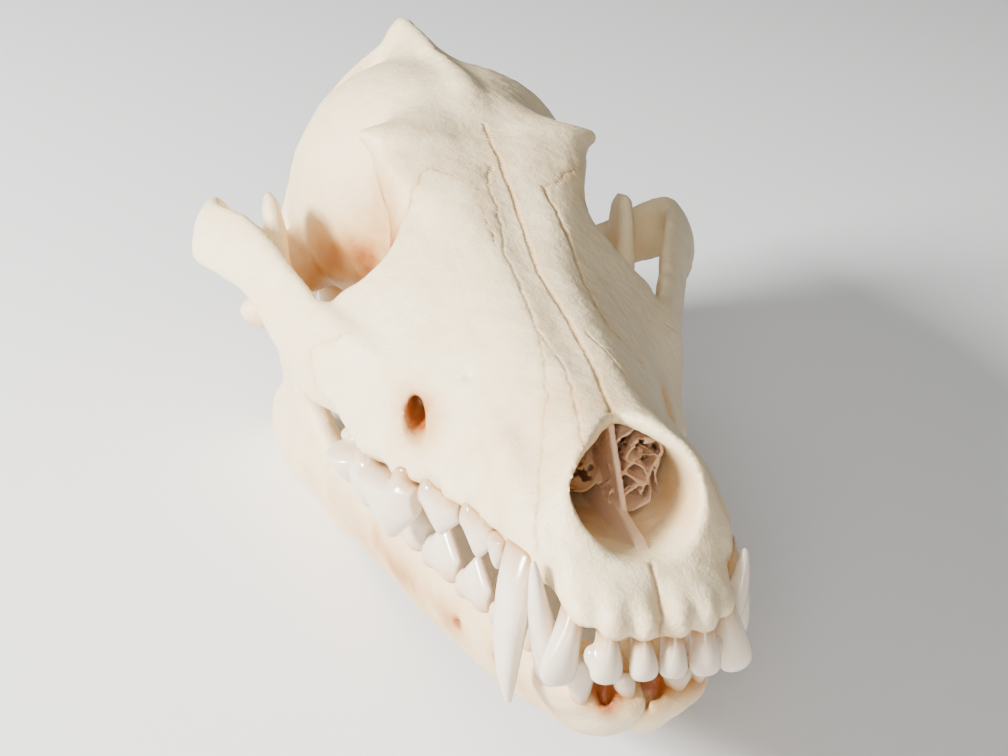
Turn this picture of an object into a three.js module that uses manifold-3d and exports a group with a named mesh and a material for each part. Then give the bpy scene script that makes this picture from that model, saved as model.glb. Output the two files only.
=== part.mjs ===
// A coyote skull with its lower jaw closed, life size, at rest on the lower edges and angles of the jaw.
// Millimetres. +Z is up, the muzzle points to -Y and the skull's own left is +X.
// The forms are drawn in the skull's frame, where y runs back from the front of the premaxilla and z is 0
// at the upper incisors' sockets. The last group tips that frame back and sets it on the ground.
import * as THREE from "three";
import { mergeVertices } from "three/addons/utils/BufferGeometryUtils.js";
import Module from "manifold-3d";

const wasm = await Module();
wasm.setup();

// Driving dimensions
const SKULL_LENGTH = 192; // premaxilla to the back of the crest
const ARCH_HALF_WIDTH = 54; // midline to the outside of the cheek arch
const CASE_HALF_WIDTH = 32; // midline to the side of the braincase
const CONDYLE = { x: 34, y: 148.5, z: 11.5, halfLength: 9, radius: 4.4 };
const JAW_BASE = -24.7; // lower edge of the jaw
const REST = { tilt: 11, y: 126, z: -21.7 }; // degrees the muzzle tips up, and a point of the ground
const LEAN = { reach: 2, from: 0, to: 150 }; // the face bows this far to its right, between two y
const TOUCHING_GAP = 0.3; // gap between pieces that touch
const TOOTH_GAP = 0.4; // gap between an upper front tooth and the jaw
const CANINE_GAP = 0.9; // gap between the lower canine and the muzzle
const ROOT_DEPTH = 4; // how far a cheek tooth reaches into its socket
const LOWEST_CROWN = 0.9; // a cheek tooth's height between its cusps
const ORBIT = { x: 34, y: 99, z: 43, rx: 16, ry: 19.5, rz: 14.5 };
const NOSE_NOTCH = { halfWidth: 9, front: 2, tip: 15.2, back: 24.6, low: 20, high: 34 };
const FOREFACE_CUT = 103; // y of the joint between muzzle and braincase
// a cheek arch's box: its front part runs from the joint with the cheek, its back part to that with the base
const ARCH_FRONT = { x: 33.5, y: 88, z: 8 };
const ARCH_BACK = { x: 41.5, y: 120, z: 12 };
const ARCH_TOP = 60;
const BEYOND = 400; // further than any part of the skull

// Materials
const bone = new THREE.MeshStandardMaterial({ color: 0xf3e6d0, roughness: 0.55, metalness: 0 });

// Curves through a few stations

/** A smooth course through rows of [position, ...values]: cubics whose slopes come from the rows beside. */
function course(rows) {
  const slopeAt = (i, k) => {
    const a = rows[Math.max(i - 1, 0)];
    const b = rows[Math.min(i + 1, rows.length - 1)];
    return (b[k] - a[k]) / (b[0] - a[0]);
  };
  return (position) => {
    let i = 0;
    while (i < rows.length - 2 && position > rows[i + 1][0]) i += 1;
    const span = rows[i + 1][0] - rows[i][0];
    const t = Math.min(Math.max((position - rows[i][0]) / span, 0), 1);
    return rows[i].slice(1).map((start, k) => {
      const end = rows[i + 1][k + 1];
      const m0 = slopeAt(i, k + 1) * span;
      const m1 = slopeAt(i + 1, k + 1) * span;
      const t2 = t * t;
      const t3 = t2 * t;
      return (
        (2 * t3 - 3 * t2 + 1) * start + (t3 - 2 * t2 + t) * m0 + (3 * t2 - 2 * t3) * end + (t3 - t2) * m1
      );
    });
  };
}

/** Evenly spaced positions from first to last. */
function steps(first, last, count) {
  return Array.from({ length: count }, (_, i) => first + ((last - first) * i) / (count - 1));
}

// Closed surfaces

/** A closed surface over rings of equal point counts, with a fan over each end. */
function shell(rings) {
  const perRing = rings[0].length;
  const points = rings.flat();
  const middleOf = (ring) =>
    ring.reduce((sum, p) => sum.add(p), new THREE.Vector3()).divideScalar(ring.length);
  const front = points.push(middleOf(rings[0])) - 1;
  const back = points.push(middleOf(rings[rings.length - 1])) - 1;
  const faces = [];
  for (let r = 0; r < rings.length - 1; r += 1) {
    for (let s = 0; s < perRing; s += 1) {
      const a = r * perRing + s;
      const b = r * perRing + ((s + 1) % perRing);
      faces.push(a, b, b + perRing, a, b + perRing, a + perRing);
    }
  }
  const lastRing = (rings.length - 1) * perRing;
  for (let s = 0; s < perRing; s += 1) {
    const next = (s + 1) % perRing;
    faces.push(front, next, s);
    faces.push(back, lastRing + s, lastRing + next);
  }
  const geometry = new THREE.BufferGeometry();
  const numbers = points.flatMap((p) => p.toArray());
  geometry.setAttribute("position", new THREE.Float32BufferAttribute(numbers, 3));
  geometry.setIndex(faces);
  return geometry;
}

/** |value| to a power, with the value's own sign. */
function signedPower(value, power) {
  return Math.sign(value) * Math.abs(value) ** power;
}

/**
 * A ring across the skull at y: a superellipse round x, whose upper and lower halves meet at the widest
 * level. leanTop and leanBottom draw the sides in above and below it, and shear moves them out as they rise.
 */
function crossRing(y, [x, halfWidth, top, wide, bottom, square, leanTop, leanBottom, shear], segments) {
  return Array.from({ length: segments }, (_, i) => {
    const angle = (2 * Math.PI * (i + 0.5)) / segments;
    const up = signedPower(Math.sin(angle), 2 / square);
    const out = signedPower(Math.cos(angle), 2 / square);
    const lean = up > 0 ? 1 - leanTop * up : 1 + leanBottom * up;
    const z = up > 0 ? wide + (top - wide) * up : wide + (wide - bottom) * up;
    return new THREE.Vector3(x + halfWidth * out * lean + shear * (z - wide), y, z);
  });
}

/** A body lofted along the skull from rows of [y, ...crossRing values], where values left out are 0. */
function loft(rows, rings, segments) {
  const columns = 10;
  const at = course(rows.map((row) => [...row, ...Array(columns - row.length).fill(0)]));
  const stations = steps(rows[0][0], rows[rows.length - 1][0], rings);
  return shell(stations.map((y) => crossRing(y, at(y), segments)));
}

/**
 * A bar swept along rows of [share, x, y, z, halfThickness, halfHeight, tilt]: an ellipse square to the path,
 * its height nearest the up direction and turned by tilt degrees round the path.
 */
function sweep(rows, rings, segments, up = new THREE.Vector3(0, 0, 1)) {
  const at = course(rows);
  const shares = steps(rows[0][0], rows[rows.length - 1][0], rings);
  const place = (share) => new THREE.Vector3(...at(share).slice(0, 3));
  const small = (shares[1] - shares[0]) * 0.25;
  return shell(
    shares.map((share) => {
      const [x, y, z, thick, high, tilt = 0] = at(share);
      const along = place(share + small).sub(place(share - small)).normalize();
      const side = new THREE.Vector3().crossVectors(along, up).normalize();
      const over = new THREE.Vector3().crossVectors(side, along);
      const turn = THREE.MathUtils.degToRad(tilt);
      return Array.from({ length: segments }, (_, i) => {
        const angle = (2 * Math.PI * i) / segments;
        const a = Math.cos(angle) * thick;
        const b = Math.sin(angle) * high;
        return new THREE.Vector3(x, y, z)
          .addScaledVector(side, a * Math.cos(turn) - b * Math.sin(turn))
          .addScaledVector(over, a * Math.sin(turn) + b * Math.cos(turn));
      });
    }),
  );
}

/** A plate whose outline is given level by level as rows of [z, x, yFront, yBack, halfThickness]. */
function plate(rows, rings, segments) {
  const at = course(rows);
  return shell(
    steps(rows[0][0], rows[rows.length - 1][0], rings).map((z) => {
      const [x, front, back, thick] = at(z);
      return Array.from({ length: segments }, (_, i) => {
        const angle = (2 * Math.PI * i) / segments;
        return new THREE.Vector3(
          x + thick * signedPower(Math.cos(angle), 0.8),
          (front + back) / 2 + ((back - front) / 2) * Math.sin(angle),
          z,
        );
      });
    }),
  );
}

/** An ellipsoid at a place, with its radii and turns in degrees. */
function ball(x, y, z, rx, ry, rz, turns = [0, 0, 0], across = 18, down = 12) {
  const geometry = new THREE.SphereGeometry(1, across, down);
  const turn = new THREE.Euler(...turns.map(THREE.MathUtils.degToRad));
  const matrix = new THREE.Matrix4().compose(
    new THREE.Vector3(x, y, z),
    new THREE.Quaternion().setFromEuler(turn),
    new THREE.Vector3(rx, ry, rz),
  );
  return geometry.applyMatrix4(matrix);
}

/** A box between two corners. */
function block(low, high) {
  const size = high.map((v, i) => v - low[i]);
  const middle = high.map((v, i) => (v + low[i]) / 2);
  return new THREE.BoxGeometry(...size).translate(...middle);
}

// Solids

/** The closed solid of a geometry, turned to face outwards. */
function solid(geometry) {
  const bare = geometry.clone();
  bare.deleteAttribute("normal");
  bare.deleteAttribute("uv");
  const merged = mergeVertices(bare, 1e-4);
  const at = merged.attributes.position;
  const index = Array.from(merged.index.array);
  let volume = 0;
  const [a, b, c] = [new THREE.Vector3(), new THREE.Vector3(), new THREE.Vector3()];
  for (let i = 0; i < index.length; i += 3) {
    a.fromBufferAttribute(at, index[i]);
    b.fromBufferAttribute(at, index[i + 1]);
    c.fromBufferAttribute(at, index[i + 2]);
    volume += a.dot(b.cross(c));
  }
  if (volume < 0) index.reverse();
  return new wasm.Manifold(
    new wasm.Mesh({
      numProp: 3,
      vertProperties: new Float32Array(at.array),
      triVerts: new Uint32Array(index),
    }),
  );
}

/** The same form on the skull's right. */
function mirrored(geometry) {
  return geometry.clone().scale(-1, 1, 1);
}

/** A form and its mirror image. */
function pair(geometry) {
  return [geometry, mirrored(geometry)];
}

/** One solid of several geometries. */
function fuse(geometries) {
  return geometries.map(solid).reduce((whole, next) => whole.add(next));
}

/** The solid less several geometries. */
function carve(whole, geometries) {
  return geometries.map(solid).reduce((rest, next) => rest.subtract(next), whole);
}

/** The largest closed body of a solid. */
function largestBody(whole) {
  const bodies = whole.decompose();
  return bodies.reduce((best, body) => (body.volume() > best.volume() ? body : best));
}

/** How far the skull's middle leans to its right at y: a smooth bow over the face. */
function leanAt(y) {
  const share = Math.min(Math.max((y - LEAN.from) / (LEAN.to - LEAN.from), 0), 1);
  return LEAN.reach * Math.sin(Math.PI * share) ** 2;
}

/** A named mesh of the solid's largest body. */
function node(name, whole, material) {
  const mesh = largestBody(whole).getMesh();
  const geometry = new THREE.BufferGeometry();
  const numbers = Array.from(mesh.vertProperties);
  for (let i = 0; i < numbers.length; i += 3) numbers[i] -= leanAt(numbers[i + 1]);
  geometry.setAttribute("position", new THREE.Float32BufferAttribute(numbers, 3));
  geometry.setIndex(Array.from(mesh.triVerts));
  geometry.computeVertexNormals();
  const made = new THREE.Mesh(geometry, material);
  made.name = name;
  return made;
}

// Teeth

/**
 * A cheek tooth: a blade along the tooth row with its cusps, whose root runs into the socket. Its place is
 * the middle of the neck, heading the row's direction in degrees out from +Y, and way -1 points it down and
 * +1 up. Each cusp is [share along the tooth from -1 to 1, height, sharpness].
 */
function cheekTooth([px, py, pz, length, width, heading, ...cusps], way) {
  const flare = 0.86; // how much narrower the blade is at its ends
  const turn = THREE.MathUtils.degToRad(heading);
  const spot = (along, across, high) =>
    new THREE.Vector3(
      px + along * Math.sin(turn) + across * Math.cos(turn),
      py + along * Math.cos(turn) - across * Math.sin(turn),
      pz + way * high,
    );
  const cuspAt = (share, [at, high, sharp]) => high * (1 - sharp * Math.abs(share - at));
  const heightAt = (share) => Math.max(LOWEST_CROWN, ...cusps.map((cusp) => cuspAt(share, cusp)));
  const valleys = cusps.slice(1).map(([at], i) => (at + cusps[i][0]) / 2);
  const shares = [-1, ...cusps.map(([at]) => at), ...valleys, 1].sort((a, b) => a - b);
  return shell(
    shares.map((share) => {
      const along = (share * length) / 2;
      const half = (width / 2) * Math.sqrt(1 - share * share * flare);
      const high = heightAt(share);
      return [
        spot(along, -half, 0.4),
        spot(along, -half * 0.5, high * 0.6),
        spot(along, 0, high),
        spot(along, half * 0.5, high * 0.6),
        spot(along, half, 0.4),
        spot(along * 0.8, 0, -ROOT_DEPTH),
      ];
    }),
  );
}

/** A front tooth swept along its curved axis from root to edge, grown by a margin all round. */
function frontTooth(rows, margin = 0, segments = 7) {
  const grown = rows.map(([share, x, y, z, thick, high]) => [share, x, y, z, thick + margin, high + margin]);
  return sweep(grown, rows.length + 1, segments, new THREE.Vector3(0, 1, 0));
}

/** An incisor's rows from root to edge, given the places of its neck and edge: it swells, then thins. */
function incisorRows(neck, edge, width, depth) {
  // share of the way from neck to edge, step along y, and shares of the width and depth
  const rings = [
    [-0.4, 1.4, 0.34, 0.4],
    [0, 0, 0.38, 0.46],
    [0.5, -0.5, 0.5, 0.5],
    [0.86, -0.2, 0.42, 0.34],
    [1, 0, 0.2, 0.12],
  ];
  return rings.map(([share, forward, wide, deep], i) => {
    const [x, y, z] = neck.map((start, axis) => start + (edge[axis] - start) * share);
    return [i, x, y + forward, z, width * wide, depth * deep];
  });
}

const upperIncisors = [
  incisorRows([2.5, 2.4, 1.0], [2.2, -0.4, -6.2], 4.2, 4.6),
  incisorRows([7.2, 3.2, 1.6], [7.9, 0.6, -6.6], 4.6, 5.0),
  incisorRows([11.6, 6.0, 2.8], [14.6, 4.2, -8.0], 5.0, 5.2),
];

const upperCanine = [
  [0, 13.4, 22, 12, 2.2, 3.4],
  [1, 15.2, 18.0, 8.0, 2.8, 4.8],
  [2, 17.2, 15.8, 2, 2.8, 4.5],
  [3, 18.3, 14.8, -5, 2.3, 3.5],
  [4, 18.4, 14.4, -11.5, 1.5, 2.2],
  [4.8, 17.8, 14.9, -16.2, 0.5, 0.7],
];

const lowerIncisors = [
  incisorRows([2.2, 6.6, -11.6], [2.1, 4.9, -6.4], 2.8, 3.6),
  incisorRows([5.4, 7.2, -11.4], [6.0, 5.6, -6.2], 3.4, 3.8),
  incisorRows([8.6, 9.2, -11.0], [10.2, 7.2, -5.6], 4.0, 4.2),
];

// Lower incisors still in their sockets on each side, counted from the middle
const KEPT_LOWER_INCISORS = { left: [1, 2], right: [0, 2] };

const lowerCanine = [
  [0, 7.6, 22, -19, 2.4, 3.6],
  [1, 10.8, 14.6, -11.5, 2.8, 4.4],
  [2, 13.6, 10.8, -5.0, 2.3, 3.4],
  [3, 15.6, 9.3, 1.2, 1.7, 2.3],
  [4, 16.5, 9.4, 6.4, 1.0, 1.3],
  [4.6, 16.8, 9.9, 9.2, 0.4, 0.5],
];

// Cheek teeth from front to back: [x, y, z, length, width, heading, ...cusps]
const upperCheekTeeth = [
  [17.2, 25.5, 5.4, 5, 3.4, 4, [-0.1, 4.2, 0.9]],
  [17.6, 34.8, 4.9, 10.5, 4, 10, [-0.12, 5.4, 0.85], [0.72, 1.7, 1.6]],
  [20.6, 46.4, 4.6, 12, 4.6, 17, [-0.08, 5.6, 0.85], [0.66, 2.4, 1.7]],
  [26.6, 60.4, 3.4, 19, 8, 21, [-0.28, 9.4, 0.95], [0.5, 6.2, 1.1]],
  [28.0, 74.6, 3.4, 11.5, 13, 6, [-0.45, 5.0, 0.9], [0.5, 4.2, 1.0]],
  [25.6, 84.2, 4.0, 7, 9, -10, [-0.3, 3.0, 0.8], [0.5, 2.6, 0.8]],
];
const lowerCheekTeeth = [
  [12.4, 22.6, -9.9, 4, 2.8, 12, [-0.1, 3.4, 0.9]],
  [13.9, 30.2, -9.3, 8, 3.4, 12, [-0.15, 5.6, 0.85], [0.7, 1.8, 1.5]],
  [15.9, 40.4, -8.9, 10.5, 3.9, 13, [-0.12, 6.6, 0.85], [0.68, 2.6, 1.6]],
  [18.2, 52.0, -8.2, 12, 4.4, 13, [-0.12, 7.4, 0.85], [0.6, 3.8, 1.5]],
  [20.4, 68.0, -7.6, 20, 6.2, 10, [-0.62, 6.0, 1.2], [-0.08, 10.2, 0.95], [0.66, 4.6, 1.1]],
  [23.0, 83.4, -6.6, 9, 6.4, 10, [-0.4, 4.4, 0.8], [0.5, 3.6, 0.8]],
  [24.6, 91.0, -5.8, 4.6, 4.4, 10, [0, 2.2, 0.5]],
];

// Skull

/** Muzzle: rows of [y, x, halfWidth, top, wide, bottom, square, leanTop, leanBottom]. */
const muzzleRows = [
  [-1.6, 0, 3.5, 3.2, 2.0, 0.8, 2.2, 0, 0],
  [0.0, 0, 9.2, 4.8, 2.4, 0.0, 2.4, 0, 0],
  [3.0, 0, 12.0, 7.4, 3.4, 0.8, 2.5, 0.06, 0],
  [6.5, 0, 13.4, 10.6, 4.4, 2.2, 2.7, 0.12, 0.04],
  [10.0, 0, 14.2, 17.0, 5.4, 3.0, 3.0, 0.16, 0.06],
  [13.0, 0, 15.0, 22.4, 6.2, 3.6, 3.2, 0.19, 0.06],
  [16.0, 0, 15.9, 25.6, 7.0, 4.2, 3.2, 0.22, 0.06],
  [21.0, 0, 16.8, 26.8, 7.4, 4.6, 2.9, 0.24, 0.04],
  [28.0, 0, 17.6, 28.0, 7.6, 4.8, 2.4, 0.24, 0.04],
  [38.0, 0, 19.8, 30.6, 7.6, 4.8, 2.3, 0.26, 0.04],
  [48.0, 0, 23.0, 33.4, 7.4, 4.6, 2.2, 0.28, 0.04],
  [58.0, 0, 27.4, 36.8, 7.2, 4.2, 2.15, 0.28, 0.04],
  [68.0, 0, 31.2, 40.6, 9.6, 3.6, 2.1, 0.3, 0.06],
  [77.0, 0, 34.2, 44.6, 14.4, 3.6, 2.05, 0.3, 0.1],
  [86.0, 0, 36.2, 49.2, 19.4, 5.0, 2.1, 0.32, 0.2],
  [96.0, 0, 33.0, 53.4, 21.0, 8.0, 2.2, 0.26, 0.3],
  [104.0, 0, 24.0, 56.6, 30.0, 14.0, 2.4, 0.1, 0.3],
];

/** Forehead and the wall between the orbits, in the same columns. */
const foreheadRows = [
  [68, 0, 5.0, 38.6, 34, 20, 2.4, 0, 0.3],
  [80, 0, 10.6, 44.6, 40, 18, 2.6, 0, 0.35],
  [88, 0, 14.8, 49.2, 44, 18, 2.8, 0, 0.38],
  [96, 0, 18.4, 53.3, 47.5, 18, 3.0, 0, 0.42],
  [104, 0, 20.8, 56.8, 51, 18, 3.0, 0, 0.46],
  [111, 0, 21.8, 59.4, 53.0, 18, 2.8, 0, 0.46],
  [118, 0, 19.6, 61.4, 52.5, 16, 2.5, 0, 0.36],
  [126, 0, 18.4, 63.0, 49, 14, 2.4, 0.02, 0.2],
  [136, 0, 20.0, 64.0, 44, 13, 2.3, 0.1, 0.1],
];

/** Braincase, in the same columns. */
const braincaseRows = [
  [110, 0, 11.0, 54.0, 42, 17.0, 2.2, 0, 0],
  [116, 0, 15.6, 59.5, 43, 15.6, 2.2, 0, 0],
  [123, 0, 19.6, 62.0, 41, 14.6, 2.3, 0, 0],
  [131, 0, 25.4, 64.0, 38, 13.6, 2.4, 0.04, 0.04],
  [140, 0, 30.0, 65.4, 35, 12.6, 2.4, 0.04, 0.06],
  [150, 0, CASE_HALF_WIDTH, 66.0, 33, 12.2, 2.4, 0.06, 0.1],
  [160, 0, CASE_HALF_WIDTH - 0.4, 65.6, 32, 12.2, 2.35, 0.08, 0.1],
  [169, 0, 29.2, 63.6, 31, 12.6, 2.3, 0.1, 0.1],
  [176, 0, 25.0, 60.0, 30, 13.4, 2.2, 0.1, 0.1],
  [182, 0, 18.4, 53.0, 30, 15.4, 2.1, 0.1, 0.1],
  [185, 0, 9.0, 43.0, 30, 20.0, 2.0, 0, 0],
];

/** Back of the skull, which rises to the crest and overhangs the neck, in the same columns. */
const occiputRows = [
  [160, 0, 26.0, 66.0, 26, 13.0, 1.9, 0.1, 0.1],
  [168, 0, 28.4, 68.6, 24, 12.6, 1.55, 0.14, 0.1],
  [175, 0, 28.0, 69.6, 24, 13.2, 1.4, 0.18, 0.1],
  [180, 0, 24.0, 70.2, 27, 15.0, 1.3, 0.2, 0.1],
  [184, 0, 16.6, 70.6, 38, 26.0, 1.35, 0.2, 0.2],
  [188, 0, 9.0, 71.0, 52, 46.0, 1.5, 0.3, 0.2],
  [191, 0, 3.2, 71.2, 62, 57.0, 1.8, 0.2, 0],
];

/** Crest along the top: rows of sweep. */
const crestRows = [
  [0, 0, 111, 54.4, 5.0, 3.4],
  [1, 0, 126, 59.6, 4.4, 5.6],
  [2, 0, 142, 62.4, 2.6, 5.0],
  [3, 0, 158, 63.6, 2.2, 5.0],
  [4, 0, 174, 64.0, 2.4, 6.4],
  [5, 0, 186, 62.8, 3.2, 9.0],
  [6, 0, SKULL_LENGTH, 62.0, 3.4, 8.6],
];

/** Raised edge between the back of the skull and its side. */
const nuchalRows = [
  [0, 0, 188, 63, 2.6, 5.0],
  [1, 10, 186, 57, 2.0, 4.2],
  [2, 19, 182, 47, 1.9, 4.2],
  [3, 25.6, 176, 35, 2.1, 4.4],
  [4, 29.0, 169, 24.6, 2.6, 4.6],
  [5, 29.0, 163, 19.4, 2.6, 4.0],
];

/** Cheek arch: rows of sweep, from inside the cheek to inside the skull base. */
const archRows = [
  [0, 22, 68, 16, 3.0, 6.0, 0],
  [1, 31.0, 81, 18.2, 3.6, 9.0, 2],
  [2, 35.6, 91, 20.6, 2.8, 8.8, 6],
  [3, 39.0, 100, 25.2, 2.4, 7.0, 12],
  [4, 43.0, 110, 30.0, 2.3, 6.2, 18],
  [5, ARCH_HALF_WIDTH - 6.6, 120, 32.4, 2.4, 6.8, 22],
  [6, ARCH_HALF_WIDTH - 3.0, 130, 32.6, 2.5, 6.6, 18],
  [7, ARCH_HALF_WIDTH - 3.4, 138, 32.0, 2.8, 6.8, 12],
  [8, 46.4, 146, 27.8, 3.4, 6.2, 4],
  [9, 38, 150, 23.6, 5.2, 5.6, 0],
  [10, 27, 151, 22.0, 6.4, 6.0, 0],
];

/** Scrolls of thin bone inside the nose: rows of sweep, thin across and wide along the section. */
const scrollRows = [
  { x: 9.0, z: 20.4, lean: 62, wide: 3.8 },
  { x: 8.8, z: 14.8, lean: 96, wide: 4.2 },
  { x: 4.6, z: 22.4, lean: 18, wide: 3.2 },
].map(({ x, z, lean, wide }) => [
  [0, x * 0.74, 25, z, 0.5, wide * 0.5, lean - 20],
  [1, x * 0.82, 31, z + 0.4, 0.6, wide, lean],
  [2, x * 0.86, 39, z + 0.8, 0.6, wide, lean + 16],
  [3, x * 0.9, 48, z + 1.2, 0.7, wide, lean + 24],
]);

function bodyForms() {
  const middle = [
    loft(muzzleRows, 24, 22),
    loft(foreheadRows, 9, 16),
    loft(braincaseRows, 13, 20),
    loft(occiputRows, 9, 14),
    sweep(crestRows, 12, 8),
    // floor of the skull behind the palate
    loft(
      [
        [92, 0, 10.5, 27, 22, 19.5, 2.6, 0, 0],
        [115, 0, 11, 28, 22, 18, 2.6, 0, 0],
        [140, 0, 14, 30, 22, 15, 2.6, 0, 0],
        [165, 0, 17, 30, 21, 13.5, 2.6, 0, 0],
        [186, 0, 13, 34, 22, 13, 2.4, 0, 0],
      ],
      7,
      12,
    ),
  ];
  const left = [
    // postorbital process
    sweep(
      [
        [0, 8, 109, 53.4, 6.4, 3.6],
        [1, 17, 110, 55.2, 4.8, 2.8],
        [2, 24.2, 111.6, 56.0, 1.3, 1.2],
      ],
      4,
      8,
    ),
    sweep(nuchalRows, 7, 6),
    // swelling over the canine's root
    sweep(
      [
        [0, 12.8, 12, 7.4, 2.6, 3.2],
        [1, 14.0, 19, 10.6, 3.2, 5.0],
        [2, 13.8, 29, 15.4, 2.9, 4.6],
        [3, 13.0, 40, 19.5, 1.8, 2.4],
      ],
      6,
      8,
    ),
    // ear capsule
    ball(14.6, 161, 13.6, 9.4, 12.4, 9.2, [0, 0, 12], 12, 7),
    // mastoid and the peg behind the ear capsule
    sweep(
      [
        [0, 22, 172, 26, 6, 6],
        [1, 23.4, 176, 16, 4, 4.4],
        [2, 22.8, 177.4, 6.4, 1.4, 1.8],
      ],
      4,
      8,
      new THREE.Vector3(0, 1, 0),
    ),
    // occipital condyle
    ball(9.0, 186.6, 20.0, 5.4, 6.0, 8.2, [0, 0, 18], 12, 8),
    // jaw joint's socket and the lip behind it
    ball(33, 151.5, 20.6, 12.5, 8.4, 6.4, [0, 0, 0], 14, 8),
    sweep(
      [
        [0, 33, 155, 18, 5.4, 3.2],
        [1, 32.6, 155.6, 11, 4.4, 2.0],
        [2, 32.2, 155.2, 6.8, 2.6, 1.1],
      ],
      4,
      8,
      new THREE.Vector3(0, 1, 0),
    ),
    // wall beside the throat, with its hook
    plate(
      [
        [24, 9.8, 88, 136, 2.0],
        [16, 9.6, 88, 133, 1.5],
        [9, 9.0, 88, 131, 1.3],
        [6.4, 8.6, 89, 133, 1.1],
        [5.2, 8.4, 91, 131, 0.8],
      ],
      6,
      8,
    ),
  ];
  return [...middle, ...left.flatMap(pair)];
}

/** Hollows of the body: the nose, the orbits and the fossae below them, the nerves' holes and the throat. */
function bodyHollows() {
  const nose = loft(
    [
      [-8, 0, 8.6, 26, 16.5, 9.2, 2.3, 0.1, 0.1],
      [7, 0, 9.4, 26, 17.0, 9.2, 2.3, 0.12, 0.1],
      [14, 0, 10.2, 25.0, 17.6, 8.8, 2.3, 0.12, 0.1],
      [22, 0, 10.4, 24.2, 17.0, 8.6, 2.3, 0.14, 0.1],
      [34, 0, 10.8, 25.4, 16.8, 8.6, 2.3, 0.2, 0.1],
      [46, 0, 10.4, 26.6, 17.4, 10.2, 2.3, 0.2, 0.1],
    ],
    8,
    20,
  );
  // notch between the nasal bones, which end in a point on each side of it
  const notchOutline = [
    [NOSE_NOTCH.halfWidth, NOSE_NOTCH.front],
    [NOSE_NOTCH.halfWidth, NOSE_NOTCH.tip],
    [0, NOSE_NOTCH.back],
    [-NOSE_NOTCH.halfWidth, NOSE_NOTCH.tip],
    [-NOSE_NOTCH.halfWidth, NOSE_NOTCH.front],
  ];
  const noseNotch = shell(
    [NOSE_NOTCH.low, NOSE_NOTCH.high].map((z) => notchOutline.map(([x, y]) => new THREE.Vector3(x, y, z))),
  );
  const throat = loft(
    [
      [90, 0, 6.4, 17.5, 12, -4, 2.6, 0, 0],
      [108, 0, 7.0, 18.5, 12, -6, 2.6, 0, 0],
      [122, 0, 6.4, 14.0, 8, -6, 2.6, 0, 0],
    ],
    3,
    10,
  );
  const spine = new THREE.CylinderGeometry(8, 7, 26, 14).scale(1, 1, 0.86).translate(0, 187, 24.5);
  const left = [
    ball(ORBIT.x, ORBIT.y, ORBIT.z, ORBIT.rx, ORBIT.ry, ORBIT.rz, [0, 0, -14], 20, 12),
    ball(31, 110, 22, 15, 20, 32, [0, 0, 0], 18, 12),
    // hole below the orbit
    sweep(
      [
        [0, 27.5, 46, 18.4, 1.9, 2.8],
        [1, 23.4, 53, 19.0, 1.7, 2.7],
        [2, 20.6, 60, 20.0, 1.4, 2.0],
      ],
      4,
      8,
    ),
    // slit in the palate behind the incisors
    ball(3.4, 11.5, 2.0, 1.5, 4.6, 4.0, [0, 0, 0], 8, 6),
    frontTooth(lowerCanine, CANINE_GAP),
  ];
  return [nose, noseNotch, throat, spine, ...left.flatMap(pair)];
}

/** Bearing of the jaw joint, clear of the condyle by the touching gap. */
function jointSocket() {
  const clear = CONDYLE.radius + TOUCHING_GAP + 0.25;
  return ball(CONDYLE.x, CONDYLE.y, CONDYLE.z, CONDYLE.halfLength + 5, clear, clear, [0, 0, 0], 18, 12);
}

/** Lower jaw's left half: its body and angle, in the muzzle's columns. */
const jawRows = [
  [2.6, 1.6, 2.4, -11.2, -12.2, -13.4, 2.0, 0, 0.2],
  [5.0, 2.2, 7.4, -9.6, -12.0, -16.4, 2.1, 0, 0.5],
  [10.0, 2.8, 9.6, -8.6, -12.4, -21.2, 2.2, 0, 0.55],
  [16.0, 4.6, 8.8, -8.4, -14.0, -23.6, 2.2, 0.05, 0.5],
  [23.0, 7.4, 6.6, -9.2, -15.0, -24.3, 2.2, 0.1, 0.4, 0.1],
  [30.0, 10.2, 4.8, -9.8, -16.0, JAW_BASE, 2.3, 0.15, 0.3, 0.16],
  [40.0, 12.8, 4.2, -9.6, -16.6, JAW_BASE, 2.4, 0.2, 0.25, 0.2],
  [55.0, 16.0, 4.1, -8.8, -16.4, JAW_BASE, 2.4, 0.2, 0.25, 0.2],
  [70.0, 18.4, 4.3, -8.2, -16.0, JAW_BASE, 2.4, 0.2, 0.25, 0.2],
  [85.0, 21.0, 4.4, -7.4, -15.2, JAW_BASE, 2.4, 0.2, 0.25, 0.2],
  [100.0, 24.0, 4.0, -6.2, -14.4, -24.8, 2.4, 0.2, 0.25, 0.18],
  [114.0, 27.6, 3.6, -4.4, -13.6, -24.4, 2.3, 0.2, 0.2, 0.14],
  [126.0, 31.0, 3.2, -3.4, -12.4, -22.1, 2.2, 0.2, 0.2, 0.08],
  [137.0, 33.0, 2.8, -3.0, -11.2, -20.0, 2.2, 0.2, 0.2],
  [145.0, 33.6, 2.6, -4.0, -10.8, -18.4, 2.2, 0.2, 0.2],
  [151.0, 33.0, 2.0, -7.4, -11.4, -16.4, 2.2, 0.1, 0.1],
  [154.5, 32.4, 1.0, -10.6, -12.2, -14.0, 2.2, 0, 0],
];

/** Upright branch of the jaw, level by level. */
const ramusRows = [
  [-14, 30.8, 116, 138, 2.4],
  [-6, 32.0, 113, 145, 2.4],
  [3, 33.6, 114, 150, 2.2],
  [9, 34.6, 116, 149, 2.1],
  [14, 35.4, 118, 144, 2.0],
  [22, 36.6, 121.4, 141, 1.8],
  [31, 37.8, 125, 140.4, 1.6],
  [37, 38.3, 128.4, 139.6, 1.3],
  [40, 38.5, 132, 137.6, 0.8],
];

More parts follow.
